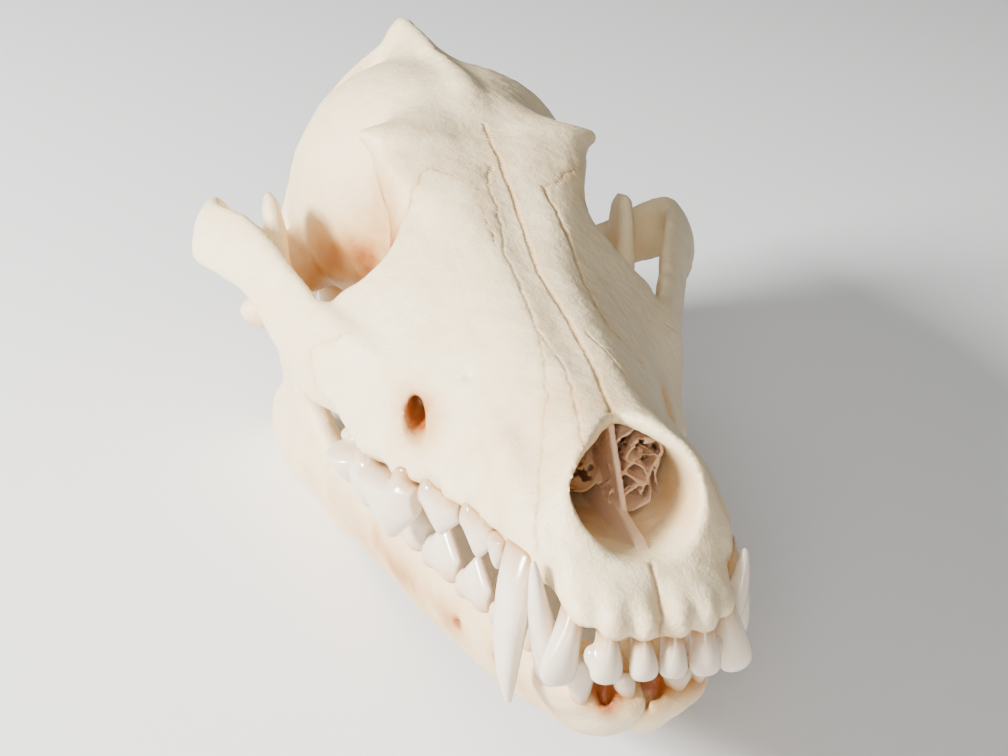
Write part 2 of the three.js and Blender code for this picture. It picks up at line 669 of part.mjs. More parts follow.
function jawForms() {
  return [
    loft(jawRows, 20, 12),
    plate(ramusRows, 10, 10),
    // thick front edge of the upright branch
    sweep(
      [
        [0, 27.4, 106, -9, 3.0, 4.0],
        [1, 31.6, 116, 2, 2.6, 3.0],
        [2, 35.2, 120.4, 15, 2.3, 2.4],
        [3, 37.6, 126.4, 30, 1.8, 1.8],
        [4, 38.4, 132, 38.6, 1.2, 1.2],
      ],
      7,
      6,
      new THREE.Vector3(0, 1, 0),
    ),
    ball(CONDYLE.x, CONDYLE.y, CONDYLE.z, CONDYLE.halfLength, CONDYLE.radius, CONDYLE.radius),
  ];
}

const wornCanine = [...upperCanine.slice(0, 4), [3.6, 18.4, 14.6, -8.8, 0.9, 1.3]];
const upperPairs = [
  ...upperIncisors.map((rows) => frontTooth(rows)),
  ...upperCheekTeeth.map((row) => cheekTooth(row, -1)),
];
const upperTeeth = [...upperPairs.flatMap(pair), frontTooth(wornCanine), mirrored(frontTooth(upperCanine))];
const lowerCheeks = lowerCheekTeeth.map((row) => cheekTooth(row, 1));

/** Box between two corners, far past the skull where a limit is null. */
function slab(low, high) {
  return solid(
    block(
      low.map((v) => v ?? -BEYOND),
      high.map((v) => v ?? BEYOND),
    ),
  );
}

/** The part of the skull that is a cheek arch, on one side (1 left, -1 right), grown by a margin. */
function archRegion(sign, margin) {
  const across = (x) => (sign > 0 ? [x - margin, BEYOND] : [-BEYOND, margin - x]);
  const [backLow, backHigh] = across(ARCH_BACK.x);
  const [frontLow, frontHigh] = across(ARCH_FRONT.x);
  const top = ARCH_TOP + margin;
  const back = slab([backLow, ARCH_BACK.y, ARCH_BACK.z - margin], [backHigh, null, top]);
  const frontEnd = ARCH_FRONT.y - margin;
  const front = slab([frontLow, frontEnd, ARCH_FRONT.z - margin], [frontHigh, ARCH_BACK.y + 1, top]);
  return back.add(front);
}

const septum = plate(
  [
    [8, 0, 24, 50, 1.0],
    [17, 0, 27, 50, 0.6],
    [26, 0, 30, 50, 0.9],
  ],
  3,
  6,
);
const scrolls = scrollRows.map((rows) => sweep(rows, 5, 6));
const additions = [...[sweep(archRows, 18, 10), ...scrolls].flatMap(pair), septum, ...upperTeeth];
const hollowed = carve(fuse(bodyForms()), bodyHollows());
const skull = carve(hollowed.add(fuse(additions)), pair(jointSocket()));

const half = TOUCHING_GAP / 2;
const sides = { left: 1, right: -1 };
const core = Object.values(sides).reduce(
  (rest, sign) => rest.subtract(archRegion(sign, TOUCHING_GAP)),
  skull,
);
const muzzle = core.intersect(slab([null, null, null], [null, FOREFACE_CUT - half, null]));
const braincase = core.intersect(slab([null, FOREFACE_CUT + half, null], [null, null, null]));

/** Everything above the ground, in the skull's frame. */
function aboveGround() {
  const tilt = THREE.MathUtils.degToRad(REST.tilt);
  const box = new THREE.BoxGeometry(BEYOND, BEYOND, BEYOND).translate(0, 0, BEYOND / 2);
  return solid(box.rotateX(tilt).translate(0, REST.y, REST.z));
}

const upperFront = [...upperIncisors, upperCanine].map((rows) => frontTooth(rows, TOOTH_GAP));

/** One half of the lower jaw, built on the left, with the incisors of the given numbers. */
function jawHalf(kept) {
  const front = [...kept.map((number) => lowerIncisors[number]), lowerCanine].map((rows) => frontTooth(rows));
  return carve(fuse([...jawForms(), ...front, ...lowerCheeks]), upperFront)
    .intersect(slab([half, null, null], [null, null, null]))
    .intersect(aboveGround());
}

const skullFrame = new THREE.Group();
skullFrame.add(node("muzzle", muzzle, bone), node("braincase", braincase, bone));
Object.entries(sides).forEach(([side, sign]) => {
  const jaw = jawHalf(KEPT_LOWER_INCISORS[side]);
  skullFrame.add(
    node(`cheek_arch_${side}`, skull.intersect(archRegion(sign, 0)), bone),
    node(`jaw_${side}`, sign > 0 ? jaw : jaw.mirror([1, 0, 0]), bone),
  );
});
skullFrame.rotation.x = THREE.MathUtils.degToRad(-REST.tilt);
skullFrame.updateMatrixWorld(true);
const extent = new THREE.Box3().setFromObject(skullFrame, true);
const middle = extent.getCenter(new THREE.Vector3());
skullFrame.position.set(-middle.x, -middle.y, -extent.min.z);

const part = new THREE.Group();
part.add(skullFrame);

export default part;
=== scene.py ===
"""A coyote skull with its lower jaw closed, at rest on a pale floor, as dry and cleaned museum bone.

The forms are drawn in the skull's frame, in millimetres: y runs back from the front of the premaxilla, z is 0
at the sockets of the upper incisors and +x is the skull's own left. Each bone is a field of signed distances,
which unites lofted, swept and round forms with soft joints and is then meshed, given its small relief and set
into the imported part's frame.
"""

import logging
import math
from dataclasses import dataclass
from enum import Enum
from typing import Callable, Optional, Sequence

import bmesh
import bpy
import numpy as np
import openvdb as vdb
from mathutils import Matrix, Vector


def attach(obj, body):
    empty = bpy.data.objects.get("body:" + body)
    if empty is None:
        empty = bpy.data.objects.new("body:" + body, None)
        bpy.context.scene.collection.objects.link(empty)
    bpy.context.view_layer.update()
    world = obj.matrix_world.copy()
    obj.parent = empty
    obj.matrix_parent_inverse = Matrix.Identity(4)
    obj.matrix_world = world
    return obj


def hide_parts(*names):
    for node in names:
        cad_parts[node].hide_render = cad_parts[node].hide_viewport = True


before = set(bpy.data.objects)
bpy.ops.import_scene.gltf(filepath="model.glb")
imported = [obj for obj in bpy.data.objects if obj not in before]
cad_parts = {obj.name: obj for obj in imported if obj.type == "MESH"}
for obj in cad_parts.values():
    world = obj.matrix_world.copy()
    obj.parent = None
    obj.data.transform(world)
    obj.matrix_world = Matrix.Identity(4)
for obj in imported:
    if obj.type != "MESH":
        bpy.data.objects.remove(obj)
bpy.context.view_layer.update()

logging.basicConfig(level=logging.INFO, format="%(message)s")
log = logging.getLogger("skull")

Array = np.ndarray
Row = Sequence[float]

# Driving sizes, in millimetres and degrees
SKULL_LENGTH = 192.0
ARCH_HALF_WIDTH = 54.0
CASE_HALF_WIDTH = 32.0
JAW_BASE = -24.7
FOREFACE_CUT = 103.0
REST_TILT = 11.0
REST_SHIFT = (0.218, -100.262, 45.343)
LEAN_REACH, LEAN_FROM, LEAN_TO = 2.0, 0.0, 150.0
CONDYLE = (34.0, 148.5, 11.5)
ARCH_FRONT = (33.5, 88.0, 8.0)
ARCH_BACK = (41.5, 120.0, 12.0)
ARCH_TOP = 60.0

# The photo's camera, in the skull's frame
CAMERA_EYE = (-86.306, -207.192, 105.057)
CAMERA_RIGHT = (0.962649, -0.266248, 0.049188)
CAMERA_DOWN = (-0.031063, -0.289076, -0.956802)
CAMERA_FORWARD = (0.268966, 0.919536, -0.286549)
CAMERA_LENS = 59.85
SENSOR_WIDTH = 36.0

MILLIMETRE = 0.001


class Side(Enum):
    """Side of the skull, with the sign of x there."""

    LEFT = 1
    RIGHT = -1


class Placing:
    """Moves points and directions from the skull's frame to the scene's."""

    def __init__(self, tilt: float, shift: Row) -> None:
        turn = math.radians(tilt)
        cosine, sine = math.cos(turn), math.sin(turn)
        self.turn = np.array([[1, 0, 0], [0, cosine, sine], [0, -sine, cosine]])
        self.shift = np.array(shift)

    def bowed(self, points: Array) -> Array:
        """Leans the face to the skull's right by a smooth bow along y.

        Args:
            points: Places in the skull's frame, one a row.

        Returns:
            The places after the bow.
        """
        share = np.clip((points[:, 1] - LEAN_FROM) / (LEAN_TO - LEAN_FROM), 0, 1)
        moved = points.copy()
        moved[:, 0] -= LEAN_REACH * np.sin(np.pi * share) ** 2
        return moved

    def unbowed(self, points: Array) -> Array:
        """Takes the face's bow back."""
        return 2 * points - self.bowed(points)

    def points(self, points: Array) -> Array:
        """Sets skull points into the scene, in metres."""
        return (self.bowed(points) @ self.turn.T + self.shift) * MILLIMETRE

    def straight(self, point: Row) -> Vector:
        """Sets one point that doesn't bow with the face, such as the camera's."""
        return Vector((self.turn @ np.array(point) + self.shift) * MILLIMETRE)

    def direction(self, way: Row) -> Vector:
        """Turns a direction."""
        return Vector(self.turn @ np.array(way))


class Sight:
    """The photo's camera in the skull's frame: where a place of the picture lies on the bone."""

    WIDTH, HEIGHT = 1008, 756
    NEAR, FAR, STEP = 150.0, 430.0, 0.5  # reach of the search from the camera, in millimetres

    def __init__(self, placing: Placing) -> None:
        self.placing = placing
        self.focal = CAMERA_LENS / SENSOR_WIDTH * self.WIDTH
        self.axes = np.array([CAMERA_RIGHT, CAMERA_DOWN, CAMERA_FORWARD])

    def onto(self, field: "Field", pixels: Sequence[Row], spacing: float = 2.5) -> Array:
        """Follows a line of the picture over a bone's surface.

        Args:
            field: The bone.
            pixels: Corners of the line, in the picture's pixels.
            spacing: Pixels between the found places.

        Returns:
            Places on the bone before the face's bow, one a row.
        """
        corners = np.array(pixels, float)
        lengths = np.linalg.norm(np.diff(corners, axis=0), axis=1)
        along = np.concatenate([[0.0], np.cumsum(lengths)])
        at = np.linspace(0, along[-1], max(2, int(along[-1] / spacing)))
        spots = np.stack([np.interp(at, along, corners[:, i]) for i in range(2)], -1)
        middle = (self.WIDTH / 2, self.HEIGHT / 2)
        ways = np.column_stack([(spots - middle) / self.focal, np.ones(len(spots))]) @ self.axes
        ways /= np.linalg.norm(ways, axis=1)[:, None]
        reach = np.arange(self.NEAR, self.FAR, self.STEP)
        places = np.array(CAMERA_EYE) + ways[:, None] * reach[None, :, None]
        flat = self.placing.unbowed(places.reshape(-1, 3))
        distance = field.at(flat).reshape(len(spots), -1)
        hit = distance < 0
        first = np.argmax(hit, axis=1)
        rows = np.flatnonzero(hit.any(axis=1) & (first > 0))
        before, after = distance[rows, first[rows] - 1], distance[rows, first[rows]]
        share = before / np.maximum(before - after, 1e-6)
        flat = flat.reshape(places.shape)
        start, end = flat[rows, first[rows] - 1], flat[rows, first[rows]]
        return start + (end - start) * share[:, None]


class Course:
    """A smooth course through rows of [position, ...values]: cubics with slopes from the rows beside."""

    def __init__(self, rows: Sequence[Row], columns: int = 0) -> None:
        width = max(columns + 1, max(len(row) for row in rows))
        table = np.array([list(row) + [0.0] * (width - len(row)) for row in rows], float)
        self.at, self.values = table[:, 0], table[:, 1:]
        order = np.arange(len(rows))
        low, high = np.maximum(order - 1, 0), np.minimum(order + 1, len(rows) - 1)
        self.slopes = (self.values[high] - self.values[low]) / (self.at[high] - self.at[low])[:, None]

    def __call__(self, positions: Array) -> Array:
        """The smooth curves' values at positions.

        Args:
            positions: Places along the course, held within its ends.

        Returns:
            One row of values for each.
        """
        positions = np.atleast_1d(np.asarray(positions, float))
        i = np.clip(np.searchsorted(self.at, positions, side="right") - 1, 0, len(self.at) - 2)
        span = (self.at[i + 1] - self.at[i])[:, None]
        t = np.clip((positions[:, None] - self.at[i][:, None]) / span, 0, 1)
        start, end = self.values[i], self.values[i + 1]
        slope0, slope1 = self.slopes[i] * span, self.slopes[i + 1] * span
        t2, t3 = t * t, t * t * t
        return (
            (2 * t3 - 3 * t2 + 1) * start
            + (t3 - 2 * t2 + t) * slope0
            + (3 * t2 - 2 * t3) * end
            + (t3 - t2) * slope1
        )

    def spread(self, count: int) -> Array:
        """Evenly spaced positions over the course."""
        return np.linspace(self.at[0], self.at[-1], count)


@dataclass
class Surface:
    """A closed surface of points with faces of four and three corners."""

    points: Array
    quads: Array
    triangles: Array

    @staticmethod
    def over_rings(rings: Array) -> "Surface":
        """Closes a stack of rings with a fan over each end.

        Args:
            rings: Points as (ring, place in the ring, 3).

        Returns:
            The closed surface.
        """
        count, across, _ = rings.shape
        points = np.vstack([rings.reshape(-1, 3), rings[0].mean(0), rings[-1].mean(0)])
        r, s = np.meshgrid(np.arange(count - 1), np.arange(across), indexing="ij")
        after = (s + 1) % across
        corners = (r * across + s, r * across + after, (r + 1) * across + after, (r + 1) * across + s)
        quads = np.stack(corners, -1).reshape(-1, 4)
        s = np.arange(across)
        after = (s + 1) % across
        front, back = count * across, count * across + 1
        last = (count - 1) * across
        start = np.stack([np.full(across, front), after, s], -1)
        end = np.stack([np.full(across, back), last + s, last + after], -1)
        return Surface(points, quads, np.vstack([start, end]))

    def mirrored(self) -> "Surface":
        """The same surface on the skull's other side."""
        return Surface(self.points * np.array([-1, 1, 1]), self.quads, self.triangles)


def signed_power(value: Array, power: Array) -> Array:
    """|value| to a power, with the value's own sign."""
    return np.sign(value) * np.abs(value) ** power


def loft(rows: Sequence[Row], rings: int = 90, across: int = 72) -> Surface:
    """A body lofted along y.

    Each ring is a superellipse whose upper and lower halves meet at its widest level.

    Args:
        rows: [y, x, half width, top, wide, bottom, square, lean above, lean below, shear].
        rings: How many rings.
        across: Points in each ring.

    Returns:
        The closed surface.
    """
    course = Course(rows, 9)
    y = course.spread(rings)
    x, half, top, wide, bottom, square, above, below, shear = (v[:, None] for v in course(y).T)
    angle = 2 * np.pi * (np.arange(across) + 0.5) / across
    up = signed_power(np.sin(angle)[None], 2 / square)
    out = signed_power(np.cos(angle)[None], 2 / square)
    lean = np.where(up > 0, 1 - above * up, 1 + below * up)
    z = np.where(up > 0, wide + (top - wide) * up, wide + (wide - bottom) * up)
    rings_x = x + half * out * lean + shear * (z - wide)
    return Surface.over_rings(np.stack([rings_x, np.broadcast_to(y[:, None], z.shape), z], -1))


def sweep(rows: Sequence[Row], up: Row = (0, 0, 1), rings: int = 48, across: int = 32) -> Surface:
    """A bar swept along a path, an ellipse square to it.

    Args:
        rows: [share, x, y, z, half thickness, half height, tilt in degrees].
        up: The direction that the ellipse's height keeps nearest to.
        rings: How many rings.
        across: Points in each ring.

    Returns:
        The closed surface.
    """
    course = Course(rows, 6)
    shares = course.spread(rings)
    values = course(shares)
    step = (shares[1] - shares[0]) * 0.25
    along = course(shares + step)[:, :3] - course(shares - step)[:, :3]
    along /= np.linalg.norm(along, axis=1)[:, None]
    side = np.cross(along, np.array(up, float))
    side /= np.linalg.norm(side, axis=1)[:, None]
    over = np.cross(side, along)
    turn = np.radians(values[:, 5])[:, None, None]
    angle = np.linspace(0, 2 * np.pi, across, endpoint=False)[None, :, None]
    a = np.cos(angle) * values[:, 3][:, None, None]
    b = np.sin(angle) * values[:, 4][:, None, None]
    rings_at = (
        values[:, None, :3]
        + side[:, None] * (a * np.cos(turn) - b * np.sin(turn))
        + over[:, None] * (a * np.sin(turn) + b * np.cos(turn))
    )
    return Surface.over_rings(rings_at)


def plate(rows: Sequence[Row], rings: int = 60, across: int = 48) -> Surface:
    """A plate whose outline is given level by level.

    Args:
        rows: [z, x, front y, back y, half thickness].
        rings: How many levels.
        across: Points round each level.

    Returns:
        The closed surface.
    """
    course = Course(rows, 4)
    z = course.spread(rings)
    x, front, back, thick = (v[:, None] for v in course(z).T)
    angle = np.linspace(0, 2 * np.pi, across, endpoint=False)[None]
    ring_x = x + thick * signed_power(np.cos(angle), 0.8)
    ring_y = (front + back) / 2 + (back - front) / 2 * np.sin(angle)
    return Surface.over_rings(np.stack([ring_x, ring_y, np.broadcast_to(z[:, None], ring_x.shape)], -1))


def ball(centre: Row, radii: Row, heading: float = 0.0, across: int = 40, down: int = 30) -> Surface:
    """An ellipsoid, turned by heading degrees about the vertical."""
    polar = np.pi * (np.arange(down) + 0.5)[:, None] / down
    angle = np.linspace(0, 2 * np.pi, across, endpoint=False)[None]
    unit = np.stack(
        [np.sin(polar) * np.cos(angle), np.sin(polar) * np.sin(angle), np.cos(polar) + 0 * angle], -1
    )
    turn = math.radians(heading)
    spin = np.array([[math.cos(turn), -math.sin(turn), 0], [math.sin(turn), math.cos(turn), 0], [0, 0, 1]])
    return Surface.over_rings((unit * np.array(radii)) @ spin.T + np.array(centre))


def both(surface: Surface) -> list[Surface]:
    """A surface and its mirror image."""
    return [surface, surface.mirrored()]


class Noise:
    """Smooth random values over space, on a lattice of seeded numbers that repeats."""

    SIZE = 32

    def __init__(self, seed: int) -> None:
        self.lattice = np.random.default_rng(seed).uniform(-1, 1, (self.SIZE,) * 3)

    def __call__(self, points: Array, scale: float) -> Array:
        """Values at points, with features about scale millimetres wide.

        Args:
            points: Places, one a row.
            scale: Size of the features.

        Returns:
            Values from about -1 to 1.
        """
        place = points / scale
        cell = np.floor(place).astype(int)
        t = place - cell
        t = t * t * (3 - 2 * t)
        total = np.zeros(len(points))
        for corner in range(8):
            step = np.array([corner & 1, corner >> 1 & 1, corner >> 2 & 1])
            at = (cell + step) % self.SIZE
            weight = np.prod(np.where(step, t, 1 - t), axis=1)
            total += weight * self.lattice[at[:, 0], at[:, 1], at[:, 2]]
        return total

    def layered(self, points: Array, scale: float, layers: int = 3) -> Array:
        """Noise of falling size and strength, summed."""
        shares = [(0.5**i, scale * 0.5**i) for i in range(layers)]
        return sum(share * self(points + 17.3 * i, size) for i, (share, size) in enumerate(shares))


class Field:
    """Signed distances on a regular grid, negative inside."""

    BAND = 6  # voxels to each side of a surface where its distance is kept

    def __init__(self, low: Row, high: Row, step: float) -> None:
        self.step = step
        self.origin = np.floor(np.array(low) / step).astype(int)
        shape = np.ceil(np.array(high) / step).astype(int) - self.origin + 1
        self.far = self.BAND * step
        self.values = np.full(shape, self.far, np.float32)

    def _patch(self, surface: Surface) -> Optional[tuple[tuple[slice, ...], Array]]:
        """The part of the grid that a surface reaches, and the surface's distances there."""
        grid = vdb.FloatGrid.createLevelSetFromPolygons(
            surface.points.astype(np.float32),
            triangles=surface.triangles.astype(np.uint32),
            quads=surface.quads.astype(np.uint32),
            transform=vdb.createLinearTransform(voxelSize=self.step),
            halfWidth=self.BAND,
        )
        low, high = (np.array(v) for v in grid.evalActiveVoxelBoundingBox())
        start = np.maximum(low - self.origin, 0)
        stop = np.minimum(high - self.origin + 1, self.values.shape)
        if np.any(stop <= start):
            return None
        patch = np.zeros(stop - start, np.float32)
        grid.copyToArray(patch, ijk=tuple(int(v) for v in start + self.origin))
        return tuple(slice(a, b) for a, b in zip(start, stop)), patch

    @staticmethod
    def _soft_least(a: Array, b: Array, blend: float) -> Array:
        """The smaller of two fields, rounded where they are within blend of each other."""
        if blend <= 0:
            return np.minimum(a, b)
        near = np.maximum(blend - np.abs(a - b), 0) / blend
        return np.minimum(a, b) - near * near * blend / 4

    def _merge(self, where: tuple[slice, ...], patch: Array, blend: float, sign: float) -> None:
        """Mixes distances into part of the grid.

        Args:
            where: The part of the grid.
            patch: The distances.
            blend: About how wide the joint is.
            sign: 1 to unite, -1 to take away.
        """
        here = self.values[where] * sign
        mixed = self._soft_least(here, patch, min(blend, self.far * 0.9))
        untouched = (patch >= self.far * 0.98) | (here <= -self.far * 0.98)
        mixed = np.where(untouched, here, mixed)
        self.values[where] = np.clip(mixed, -self.far, self.far) * sign

    def add(self, surface: Surface, blend: float = 0.0) -> None:
        """Unites the field with a surface's inside, with a joint about blend wide."""
        found = self._patch(surface)
        if found:
            self._merge(*found, blend, 1)

    def cut(self, surface: Surface, blend: float = 0.0) -> None:
        """Takes a surface's inside away, with an edge rounded over about blend."""
        found = self._patch(surface)
        if found:
            self._merge(*found, blend, -1)

    def grid(self, low: Row, high: Row) -> tuple[tuple[slice, ...], Array]:
        """The part of the grid between two corners, and its points."""
        start = np.maximum(np.floor(np.array(low) / self.step).astype(int) - self.origin, 0)
        stop = np.minimum(np.ceil(np.array(high) / self.step).astype(int) - self.origin, self.values.shape)
        axes = [(np.arange(a, b) + o) * self.step for a, b, o in zip(start, stop, self.origin)]
        points = np.stack(np.meshgrid(*axes, indexing="ij"), -1)
        return tuple(slice(a, b) for a, b in zip(start, stop)), points

    def cut_where(self, low: Row, high: Row, form: Callable[[Array], Array], blend: float = 0.0) -> None:
        """Takes away the inside of a form given by its own distances, between two corners."""
        where, points = self.grid(low, high)
        patch = np.clip(form(points), -self.far, self.far).astype(np.float32)
        self._merge(where, patch, blend, -1)

    def at(self, points: Array) -> Array:
        """Distances at points."""
        return sample(self.values, points / self.step - self.origin)

    def soften(self, rounds: int = 1) -> None:
        """Blurs the field by one voxel a round."""
        for _ in range(rounds):
            for axis in range(3):
                v = np.moveaxis(self.values, axis, 0)
                v[1:-1] = (v[:-2] + 2 * v[1:-1] + v[2:]) / 4

    def mesh(self) -> Surface:
        """The surface where the field is zero, facing outwards."""
        grid = vdb.FloatGrid(self.far)
        grid.copyFromArray(self.values, ijk=tuple(int(v) for v in self.origin))
        grid.transform = vdb.createLinearTransform(voxelSize=self.step)
        points, _, quads = grid.convertToPolygons(isovalue=0.0, adaptivity=0.0)
        points, quads = points.astype(float), quads.astype(int)
        a, b, c, d = (points[quads[:, i]] for i in range(4))
        volume = np.einsum("ij,ij->i", a, np.cross(b, c)) + np.einsum("ij,ij->i", a, np.cross(c, d))
        if volume.sum() < 0:
            quads = quads[:, ::-1]
        return Surface(points, quads, np.zeros((0, 3), int))

    def closeness(self, reach: float) -> Callable[[Array], Array]:
        """How much bone lies round a place.

        Args:
            reach: About how far round it is looked, in millimetres.

        Returns:
            A function from points to the solid share there: 0.5 on flat bone, more in a hollow.
        """
        coarse = 2
        solid = np.clip(0.5 - self.values / (2 * self.step), 0, 1)
        trimmed = solid[tuple(slice(0, n - n % coarse) for n in solid.shape)]
        blocks = [v for n in trimmed.shape for v in (n // coarse, coarse)]
        small = trimmed.reshape(blocks).mean(axis=(1, 3, 5))
        width = max(1, int(round(reach / (self.step * coarse))))
        for _ in range(2):
            for axis in range(3):
                small = self._box_blur(small, width, axis)
        start = (self.origin + (coarse - 1) / 2) * self.step

        def at(points: Array) -> Array:
            """The blurred share of bone at points."""
            return sample(small, (points - start) / (self.step * coarse))

        return at

    @staticmethod
    def _box_blur(values: Array, width: int, axis: int) -> Array:
        """Blurs a grid along one axis by a running mean.

        Args:
            values: The grid.
            width: How many cells to each side are averaged.
            axis: The axis.

        Returns:
            The blurred grid.
        """
        padding = [(width + 1, width) if i == axis else (0, 0) for i in range(3)]
        total = np.cumsum(np.pad(values, padding), axis=axis, dtype=np.float64)
        high = np.take(total, np.arange(2 * width + 1, total.shape[axis]), axis=axis)
        low = np.take(total, np.arange(0, total.shape[axis] - 2 * width - 1), axis=axis)
        return (high - low) / (2 * width + 1)


def sample(values: Array, place: Array) -> Array:
    """Values of a grid between its points.

    Args:
        values: The grid.
        place: Places in steps of the grid, one a row.

    Returns:
        The blended values.
    """
    place = np.clip(place, 0, np.array(values.shape) - 1.001)
    cell = place.astype(int)
    t = place - cell
    total = np.zeros(len(place))
    for corner in range(8):
        step = np.array([corner & 1, corner >> 1 & 1, corner >> 2 & 1])
        at = cell + step
        total += np.prod(np.where(step, t, 1 - t), axis=1) * values[at[:, 0], at[:, 1], at[:, 2]]
    return total


@dataclass
class Skin:
    """A triangle mesh with its normals and named values for the finish."""

    points: Array
    triangles: Array
    values: dict[str, Array]

    def normals(self) -> Array:
        """Smooth normals at the points."""
        a, b, c = (self.points[self.triangles[:, i]] for i in range(3))
        face = np.cross(b - a, c - a)
        total = np.zeros_like(self.points)
        for i in range(3):
            np.add.at(total, self.triangles[:, i], face)
        return total / np.maximum(np.linalg.norm(total, axis=1), 1e-12)[:, None]


def refined(surface: Surface, near: Callable[[Array], Array], cuts: int) -> tuple[Array, Array]:
    """Splits the faces near chosen places, and every face into triangles.

    Args:
        surface: The surface.
        near: Tells for each point whether the mesh is refined there.
        cuts: How many times an edge there is cut.

    Returns:
        Points and triangles.
    """
    mesh = bpy.data.meshes.new("refined")
    mesh.from_pydata(surface.points.tolist(), [], surface.quads.tolist())
    shape = bmesh.new()
    shape.from_mesh(mesh)
    if cuts:
        flags = near(surface.points)
        edges = [e for e in shape.edges if flags[e.verts[0].index] and flags[e.verts[1].index]]
        bmesh.ops.subdivide_edges(shape, edges=edges, cuts=cuts, use_grid_fill=True)
    bmesh.ops.triangulate(shape, faces=shape.faces[:])
    shape.to_mesh(mesh)
    shape.free()
    points = np.empty(len(mesh.vertices) * 3)
    mesh.vertices.foreach_get("co", points)
    corners = np.empty(len(mesh.loops), np.int32)
    mesh.loops.foreach_get("vertex_index", corners)
    bpy.data.meshes.remove(mesh)
    return points.reshape(-1, 3), corners.reshape(-1, 3).astype(int)


class Maker:
    """Turns skins into objects that ride on the part."""

    def __init__(self, placing: Placing) -> None:
        self.placing = placing

    def make(self, name: str, skin: Skin, normals: Array, material: bpy.types.Material) -> bpy.types.Object:
        """Makes one object.

        Args:
            name: The object's name.
            skin: Its mesh, in the skull's frame.
            normals: Its normals there.
            material: Its finish.

        Returns:
            The object, riding on the part's body.
        """
        used, corners = np.unique(skin.triangles, return_inverse=True)
        corners = corners.reshape(-1, 3)
        mesh = bpy.data.meshes.new(name)
        mesh.vertices.add(len(used))
        mesh.vertices.foreach_set("co", self.placing.points(skin.points[used]).astype(np.float32).ravel())
        mesh.loops.add(corners.size)
        mesh.loops.foreach_set("vertex_index", corners.ravel().astype(np.int32))
        mesh.polygons.add(len(corners))
        mesh.polygons.foreach_set("loop_start", np.arange(0, corners.size, 3, dtype=np.int32))
        mesh.update(calc_edges=True)
        mesh.validate()
        for key, values in skin.values.items():
            layer = mesh.attributes.new(key, "FLOAT", "POINT")
            layer.data.foreach_set("value", values[used].astype(np.float32))
        mesh.polygons.foreach_set("use_smooth", np.ones(len(mesh.polygons), bool))
        turned = normals[used] @ self.placing.turn.T
        mesh.normals_split_custom_set_from_vertices(turned.tolist())
        mesh.materials.append(material)
        made = bpy.data.objects.new(name, mesh)
        bpy.context.collection.objects.link(made)
        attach(made, "root")
        log.info("%s: %d triangles", name, len(corners))
        return made


class Graph:
    """A material's nodes, made one after another."""

    def __init__(self, name: str) -> None:
        self.material = bpy.data.materials.new(name)
        self.material.use_nodes = True
        self.tree = self.material.node_tree
        self.tree.nodes.clear()

    def add(
        self, kind: str, out: int | str = 0, settings: Optional[dict] = None, **inputs
    ) -> bpy.types.NodeSocket:
        """Adds a node.

        Args:
            kind: The node's type.
            out: Which of its outputs is wanted.
            settings: The node's own properties.
            inputs: Values or sockets, by the input's name with _ for a blank, or by i and its number.

        Returns:
            The wanted output.
        """
        node = self.tree.nodes.new(kind)
        for key, value in (settings or {}).items():
            setattr(node, key, value)
        for key, value in inputs.items():
            numbered = key[0] == "i" and key[1:].isdigit()
            socket = node.inputs[int(key[1:]) if numbered else key.replace("_", " ")]
            if isinstance(value, bpy.types.NodeSocket):
                self.tree.links.new(value, socket)
            else:
                socket.default_value = value
        return node.outputs[out] if node.outputs else None

    def place(self) -> bpy.types.NodeSocket:
        """The place on the object, in metres."""
        return self.add("ShaderNodeTexCoord", "Object")

    def value(self, name: str) -> bpy.types.NodeSocket:
        """A named value of the mesh."""
        return self.add("ShaderNodeAttribute", "Fac", {"attribute_name": name})

    def math(self, operation: str, a, b=0.0, clamp: bool = False) -> bpy.types.NodeSocket:
        """One sum on two numbers."""
        return self.add("ShaderNodeMath", 0, {"operation": operation, "use_clamp": clamp}, i0=a, i1=b)

    def noise(self, size: float, detail: float = 3.0) -> bpy.types.NodeSocket:
        """Noise with features about size millimetres wide."""
        scale = 1 / (size * MILLIMETRE)
        return self.add("ShaderNodeTexNoise", "Fac", Vector=self.place(), Scale=scale, Detail=detail)

    def mix(self, share, first, second) -> bpy.types.NodeSocket:
        """A blend of two colours."""
        node = self.tree.nodes.new("ShaderNodeMix")
        node.data_type = "RGBA"
        for socket, value in ((node.inputs[0], share), (node.inputs[6], first), (node.inputs[7], second)):
            if isinstance(value, bpy.types.NodeSocket):
                self.tree.links.new(value, socket)
            else:
                plain = isinstance(value, tuple) and len(value) == 3
                socket.default_value = (*value, 1.0) if plain else value
        return node.outputs[2]

    def ramp(self, share, stops: Sequence[tuple[float, tuple]]) -> bpy.types.NodeSocket:
        """Colours along a number."""
        node = self.tree.nodes.new("ShaderNodeValToRGB")
        self.tree.links.new(share, node.inputs[0])
        while len(node.color_ramp.elements) < len(stops):
            node.color_ramp.elements.new(0.5)
        for element, (at, colour) in zip(node.color_ramp.elements, stops):
            element.position = at
            element.color = (*colour, 1.0)
        return node.outputs[0]

    def shade(self, **inputs) -> bpy.types.Material:
        """Ends the material with its shader."""
        shader = self.add("ShaderNodeBsdfPrincipled", 0, None, **inputs)
        self.add("ShaderNodeOutputMaterial", 0, None, Surface=shader)
        return self.material


